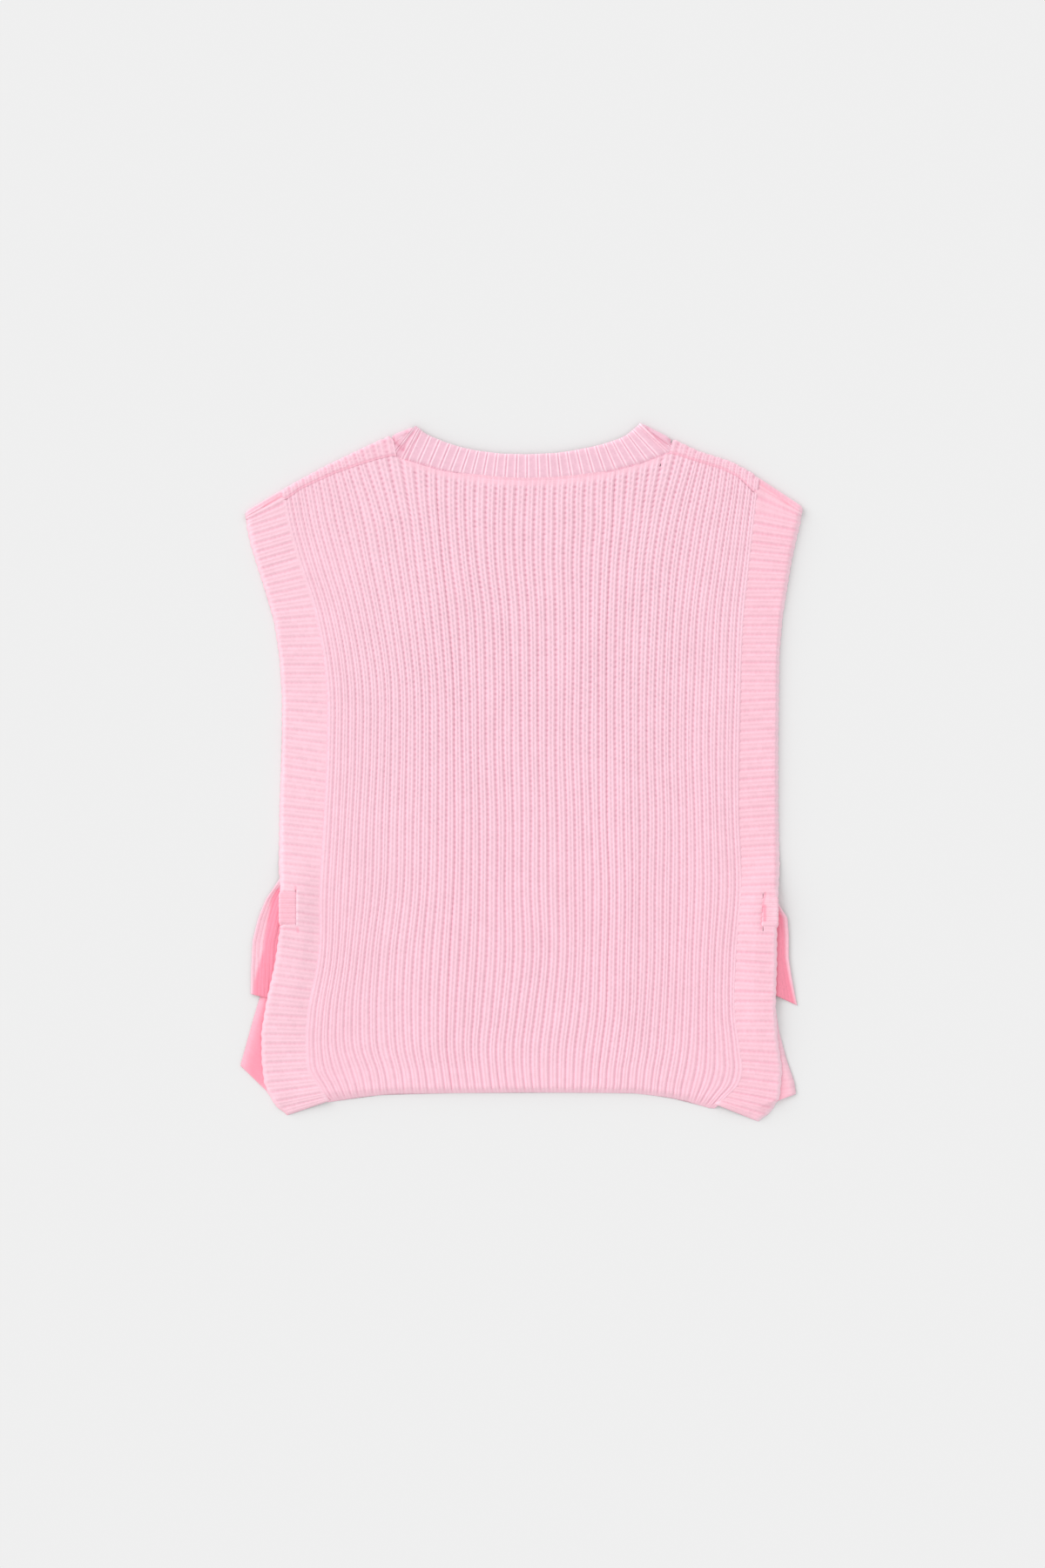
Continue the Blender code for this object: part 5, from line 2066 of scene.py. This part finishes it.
@dataclass
class StrapEnd:
    """The hanging end of a strap, between the layers and past the front trim's edge."""

    side: Side
    light: Table
    narrowing: float = 0.0
    climb: float = 0.0
    curl: float = 1.2
    wall: float = 0.9
    ribs: int = 10
    offsets: tuple[float, ...] = SIX_TO_A_RIB
    rows: int = 90
    smoothings: int = 6
    stitch: float = 2.4
    edge_radius: float = 1.1

    @property
    def node(self) -> str:
        """The end's solid."""
        return f"strap_{self.side.word}_end"

    def build(self, dresser: Dresser) -> None:
        """Make and dress the end.

        Args:
            dresser: Gives its finish.
        """
        shape = PlanShape(Outline(self.node), samples=60)
        ribs = rib_columns(0.0, float(self.ribs), self.offsets)
        across = ribs / self.ribs
        along = shares(self.rows)
        points = shape.at(across, along)
        trimmed = points[:, -1:] if self.side is Side.LEFT else points[:, :1]
        at_top = ease(along * 3 - 2)[:, None]
        level = self._levels(points)
        points = points + (trimmed - points) * (self.narrowing * at_top)[..., None]
        points[..., 1] += self.climb * at_top
        width = np.linalg.norm(points[:, -1] - points[:, 0], axis=-1)[:, None]
        from_outer = (across if self.side is Side.LEFT else 1 - across) * width
        lit = read_table(self.light, points[..., 1].mean(axis=1))[:, None]
        level = level + self.curl * bell(from_outer, 0.6 * lit + 1.0) * ease(along * 4)[:, None]
        inner = np.concatenate([points, level[..., None]], axis=-1)
        length = np.ptp(points[..., 1], axis=0).mean()
        stitches = np.broadcast_to(along[:, None] * length / self.stitch, level.shape)
        ribs_at = np.broadcast_to(ribs, level.shape)
        from_side = np.minimum(across, 1 - across) * width
        from_end = np.minimum(along, 1 - along)[:, None] * length
        height = self.wall + STRAP_KNIT.relief(ribs_at, stitches, 0.5)
        for gap in (from_side, from_end):
            height = height * rounding(gap + EDGE, self.edge_radius)
        outward = np.broadcast_to(UP, inner.shape)
        # Painted shade where the end lies in the shadow of the trim's edge, leaving the curled-up outer
        # edge light.
        painted_shade = 0.15 + 0.8 * ease((from_outer - lit + 1.5) / 3.5)
        marks = {"painted_shade": painted_shade, "plain": 0.5, "spread": 0.4}
        piece = KnitSheet(f"strap_{self.side.word}_end_knit", inner, outward, height, ribs_at, stitches,
                          marks, inner_step=3).build()
        dresser.dress(piece, STRAP_FINISH, Slot.STRAP, self.node,
                      plan_area(points))

    def _levels(self, points: Array) -> Array:
        """Read the levels of the solid's underside and smooth them.

        Args:
            points: Plan points, in rows.

        Returns:
            Level at each point.
        """
        flat = points.reshape(-1, 2)
        centre = flat.mean(axis=0)
        levels = level_under(self.node, centre + (flat - centre) * 0.995, -1.0)
        levels = np.where(np.isnan(levels), np.nanmedian(levels), levels).reshape(points.shape[:2])
        for _ in range(self.smoothings):
            padded = np.pad(levels, 1, mode="edge")
            levels = (padded[:-2, 1:-1] + padded[2:, 1:-1] + padded[1:-1, :-2] + padded[1:-1, 2:]
                      + 4 * padded[1:-1, 1:-1]) / 8
        return levels


# -------- studio


@dataclass
class Studio:
    """A plain pale floor, soft light from the upper left and a camera straight above, in metres."""

    floor_size: float = 6.0
    floor_grey: float = 0.80
    sun_strength: float = 1.5
    sun_softness: float = 46.0
    sun_from: tuple[float, float, float] = (-0.80, 0.55, 0.48)
    sky_strength: float = 0.872
    lens: float = 85.0
    film: float = 36.0
    frame_height: float = 1.2708
    camera_x: float = 0.0006
    camera_y: float = -0.0078

    def build(self) -> None:
        """Make the floor, the lights and the camera."""
        self._floor()
        self._light()
        self._camera()
        bpy.context.scene.view_settings.view_transform = "Standard"

    def _floor(self) -> None:
        """The floor, which isn't part of the vest."""
        bpy.ops.object.select_all(action="DESELECT")
        bpy.ops.mesh.primitive_plane_add(size=self.floor_size, location=(0.0, 0.0, -0.1 * MM))
        floor = bpy.context.object
        floor.name = "floor"
        material = bpy.data.materials.new("pale_floor")
        material.use_nodes = True
        shader = material.node_tree.nodes["Principled BSDF"]
        shader.inputs["Base Color"].default_value = (*(self.floor_grey,) * 3, 1.0)
        shader.inputs["Roughness"].default_value = 0.9
        shader.inputs["Specular IOR Level"].default_value = 0.0
        floor.data.materials.append(material)

    def _light(self) -> None:
        """A broad soft light and an even sky."""
        lamp = bpy.data.lights.new("window", "SUN")
        lamp.energy = self.sun_strength
        lamp.angle = math.radians(self.sun_softness)
        window = bpy.data.objects.new("window", lamp)
        window.rotation_euler = Vector(self.sun_from).to_track_quat("Z", "Y").to_euler()
        bpy.context.scene.collection.objects.link(window)
        world = bpy.data.worlds.new("sky")
        world.use_nodes = True
        sky = world.node_tree.nodes["Background"]
        sky.inputs["Color"].default_value = (1.0, 1.0, 1.0, 1.0)
        sky.inputs["Strength"].default_value = self.sky_strength
        bpy.context.scene.world = world

    def _camera(self) -> None:
        """The camera, looking straight down with the neck at the top."""
        data = bpy.data.cameras.new("camera")
        data.lens = self.lens
        data.sensor_width = self.film
        camera = bpy.data.objects.new("camera", data)
        camera.location = (self.camera_x, self.camera_y, self.frame_height * self.lens / self.film)
        bpy.context.scene.collection.objects.link(camera)
        bpy.context.scene.camera = camera


# -------- the vest

# Creases by the slits, with painted shade; a shade below 0 is a painted highlight along the slit's edge.
LEFT_SLIT_CREASES = (
    Crease(((-181.0, -95.0), (-181.8, -121.0)), 1.3, 0.45, -0.2),
    Crease(((-182.9, -91.0), (-182.9, -94.0)), 0.9, -0.3, 0.45),
    Crease(((-181.6, -124.0), (-181.2, -127.4)), 0.9, -0.3, 0.45),
    Crease(((-196.0, -124.6), (-183.0, -125.0)), 0.8, -0.2, 0.2),
)
RIGHT_SLIT_CREASES = (
    Crease(((196.8, -95.8), (194.6, -110.0)), 0.8, -0.4, 0.4),
    Crease(((194.6, -110.0), (193.2, -125.6)), 0.8, -0.4, 0.4),
    Crease(((196.6, -106.5), (196.6, -118.0)), 1.3, -0.3, 0.6),
    Crease(((206.5, -110.0), (207.5, -116.0)), 3.0, 0.2, -0.12),
)
# The trims' shade, edge_shade and corner_shade, and the shade of their creases, are painted shade.
LEFT_TRIM = SideTrim(
    side=Side.LEFT,
    lines=(
        # rib, height of its middle, how far it rises from the seam to the outer edge
        (0.0, -270.3, -12.0), (2.0, -261.3, -8.0), (4.0, -247.8, -4.0), (7.0, -225.3, -1.0),
        (10.0, -203.3, 1.5), (13.0, -180.3, 4.5), (17.0, -149.3, 6.0), (22.0, -112.3, 5.0),
        (27.0, -74.1, 4.7), (30.0, -50.0, 4.1), (33.0, -27.8, 4.6), (37.0, 4.0, 6.4),
        (40.0, 27.0, 5.2), (43.0, 50.5, 3.0), (46.0, 74.0, 0.2), (49.0, 95.7, 0.0),
        (53.0, 126.7, -3.0), (56.0, 148.7, -7.5), (59.0, 170.7, -10.2), (62.0, 190.7, -10.4),
        (64.0, 205.2, -11.0), (65.2, 214.7, -17.0),
    ),
    low_lines=(
        # height on the seam, how far the rib rises to the outer edge
        (-263.8, 27.5), (-223.3, 21.0), (-198.3, 18.0), (-143.3, 8.0), (-107.3, 4.0), (27.7, 5.0),
        (97.2, 0.0), (152.7, -8.0), (200.0, -10.0),
    ),
    corner_shade=(
        # distance from the outer edge, depth of painted shade
        (0.0, 0.6), (3.5, 0.72), (7.0, 0.9), (14.0, 0.9), (22.0, 0.65),
    ),
    slit_x=182.6,
    slit_ribs=(20.6, 24.4),
    clarity=0.7,
    strap_heights=(-122.3, -94.3),
    creases=(*LEFT_SLIT_CREASES, Crease(((-187.2, 230.1), (-209.1, 216.7)), 0.9, -0.4, 0.4)),
    shade=0.14,
    edge_shade=0.45,
)
RIGHT_TRIM = SideTrim(
    side=Side.RIGHT,
    lines=(
        (0.0, -274.1, -14.5), (2.0, -265.3, -10.0), (4.0, -254.8, -6.0), (7.0, -232.8, -3.0),
        (10.0, -208.1, 0.0), (13.0, -183.8, 0.0), (15.0, -168.0, -2.7), (17.0, -152.1, -2.5),
        (20.0, -129.0, -0.8), (22.0, -113.1, 0.0), (27.0, -73.8, 2.0), (33.0, -26.8, 2.8),
        (40.0, 27.7, 2.4), (44.0, 59.5, 2.0), (46.0, 75.0, 0.0), (49.0, 98.2, 0.0),
        (53.0, 127.7, 0.0), (56.0, 149.9, 0.0), (59.0, 172.2, -3.5), (62.0, 193.2, -5.5),
        (64.0, 208.2, -9.0), (65.2, 219.4, -19.5),
    ),
    low_lines=(
        (-272.8, 8.5), (-230.3, 0.0), (-205.3, -4.0), (-143.3, 0.0), (27.7, 2.0), (152.7, 0.0),
        (200.0, -5.0),
    ),
    corner_shade=(
        (0.0, 0.1), (6.0, 0.3), (12.0, 0.5), (20.0, 0.6),
    ),
    slit_x=195.4,
    slit_ribs=(20.3, 24.1),
    clarity=0.9,
    strap_heights=(-124.3, -98.3),
    creases=(*RIGHT_SLIT_CREASES,
             Crease(((189.0, 237.0), (193.3, 234.4), (205.7, 226.6), (216.6, 218.1)), 0.9, -0.4, 0.3)),
    shade=0.23,
)
LEFT_STRAP_END = StrapEnd(
    side=Side.LEFT,
    light=(
        # height, width of the edge that curls up into the light
        (-180.0, 1.5), (-171.0, 2.5), (-142.0, 9.0), (-122.0, 8.0), (-112.0, 6.5), (-102.0, 4.0),
        (-94.0, 2.8), (-88.0, 7.0),
    ),
    narrowing=0.3,
    climb=11.0,
)
RIGHT_STRAP_END = StrapEnd(
    side=Side.RIGHT,
    light=((-188.0, 1.5), (-150.0, 2.5), (-110.0, 3.0), (-96.0, 6.0)),
)


def main() -> None:
    """Build the vest's knit piece by piece, and the studio."""
    logging.basicConfig(level=logging.INFO, format="%(name)s: %(message)s")
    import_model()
    bpy.ops.object.select_all(action="DESELECT")
    Studio().build()
    dresser = Dresser()
    BackPanel().build(dresser)
    FrontPanel().build(dresser)
    Neckband().build(dresser)
    LEFT_TRIM.build(dresser)
    RIGHT_TRIM.build(dresser)
    StrapPass(Side.LEFT, LEFT_SLIT_CREASES, shade=0.36).build(dresser)
    StrapPass(Side.RIGHT, RIGHT_SLIT_CREASES, shade=0.19, inset=3.0, shift=0.6).build(dresser)
    LEFT_STRAP_END.build(dresser)
    RIGHT_STRAP_END.build(dresser)


if __name__ == "__main__":
    main()
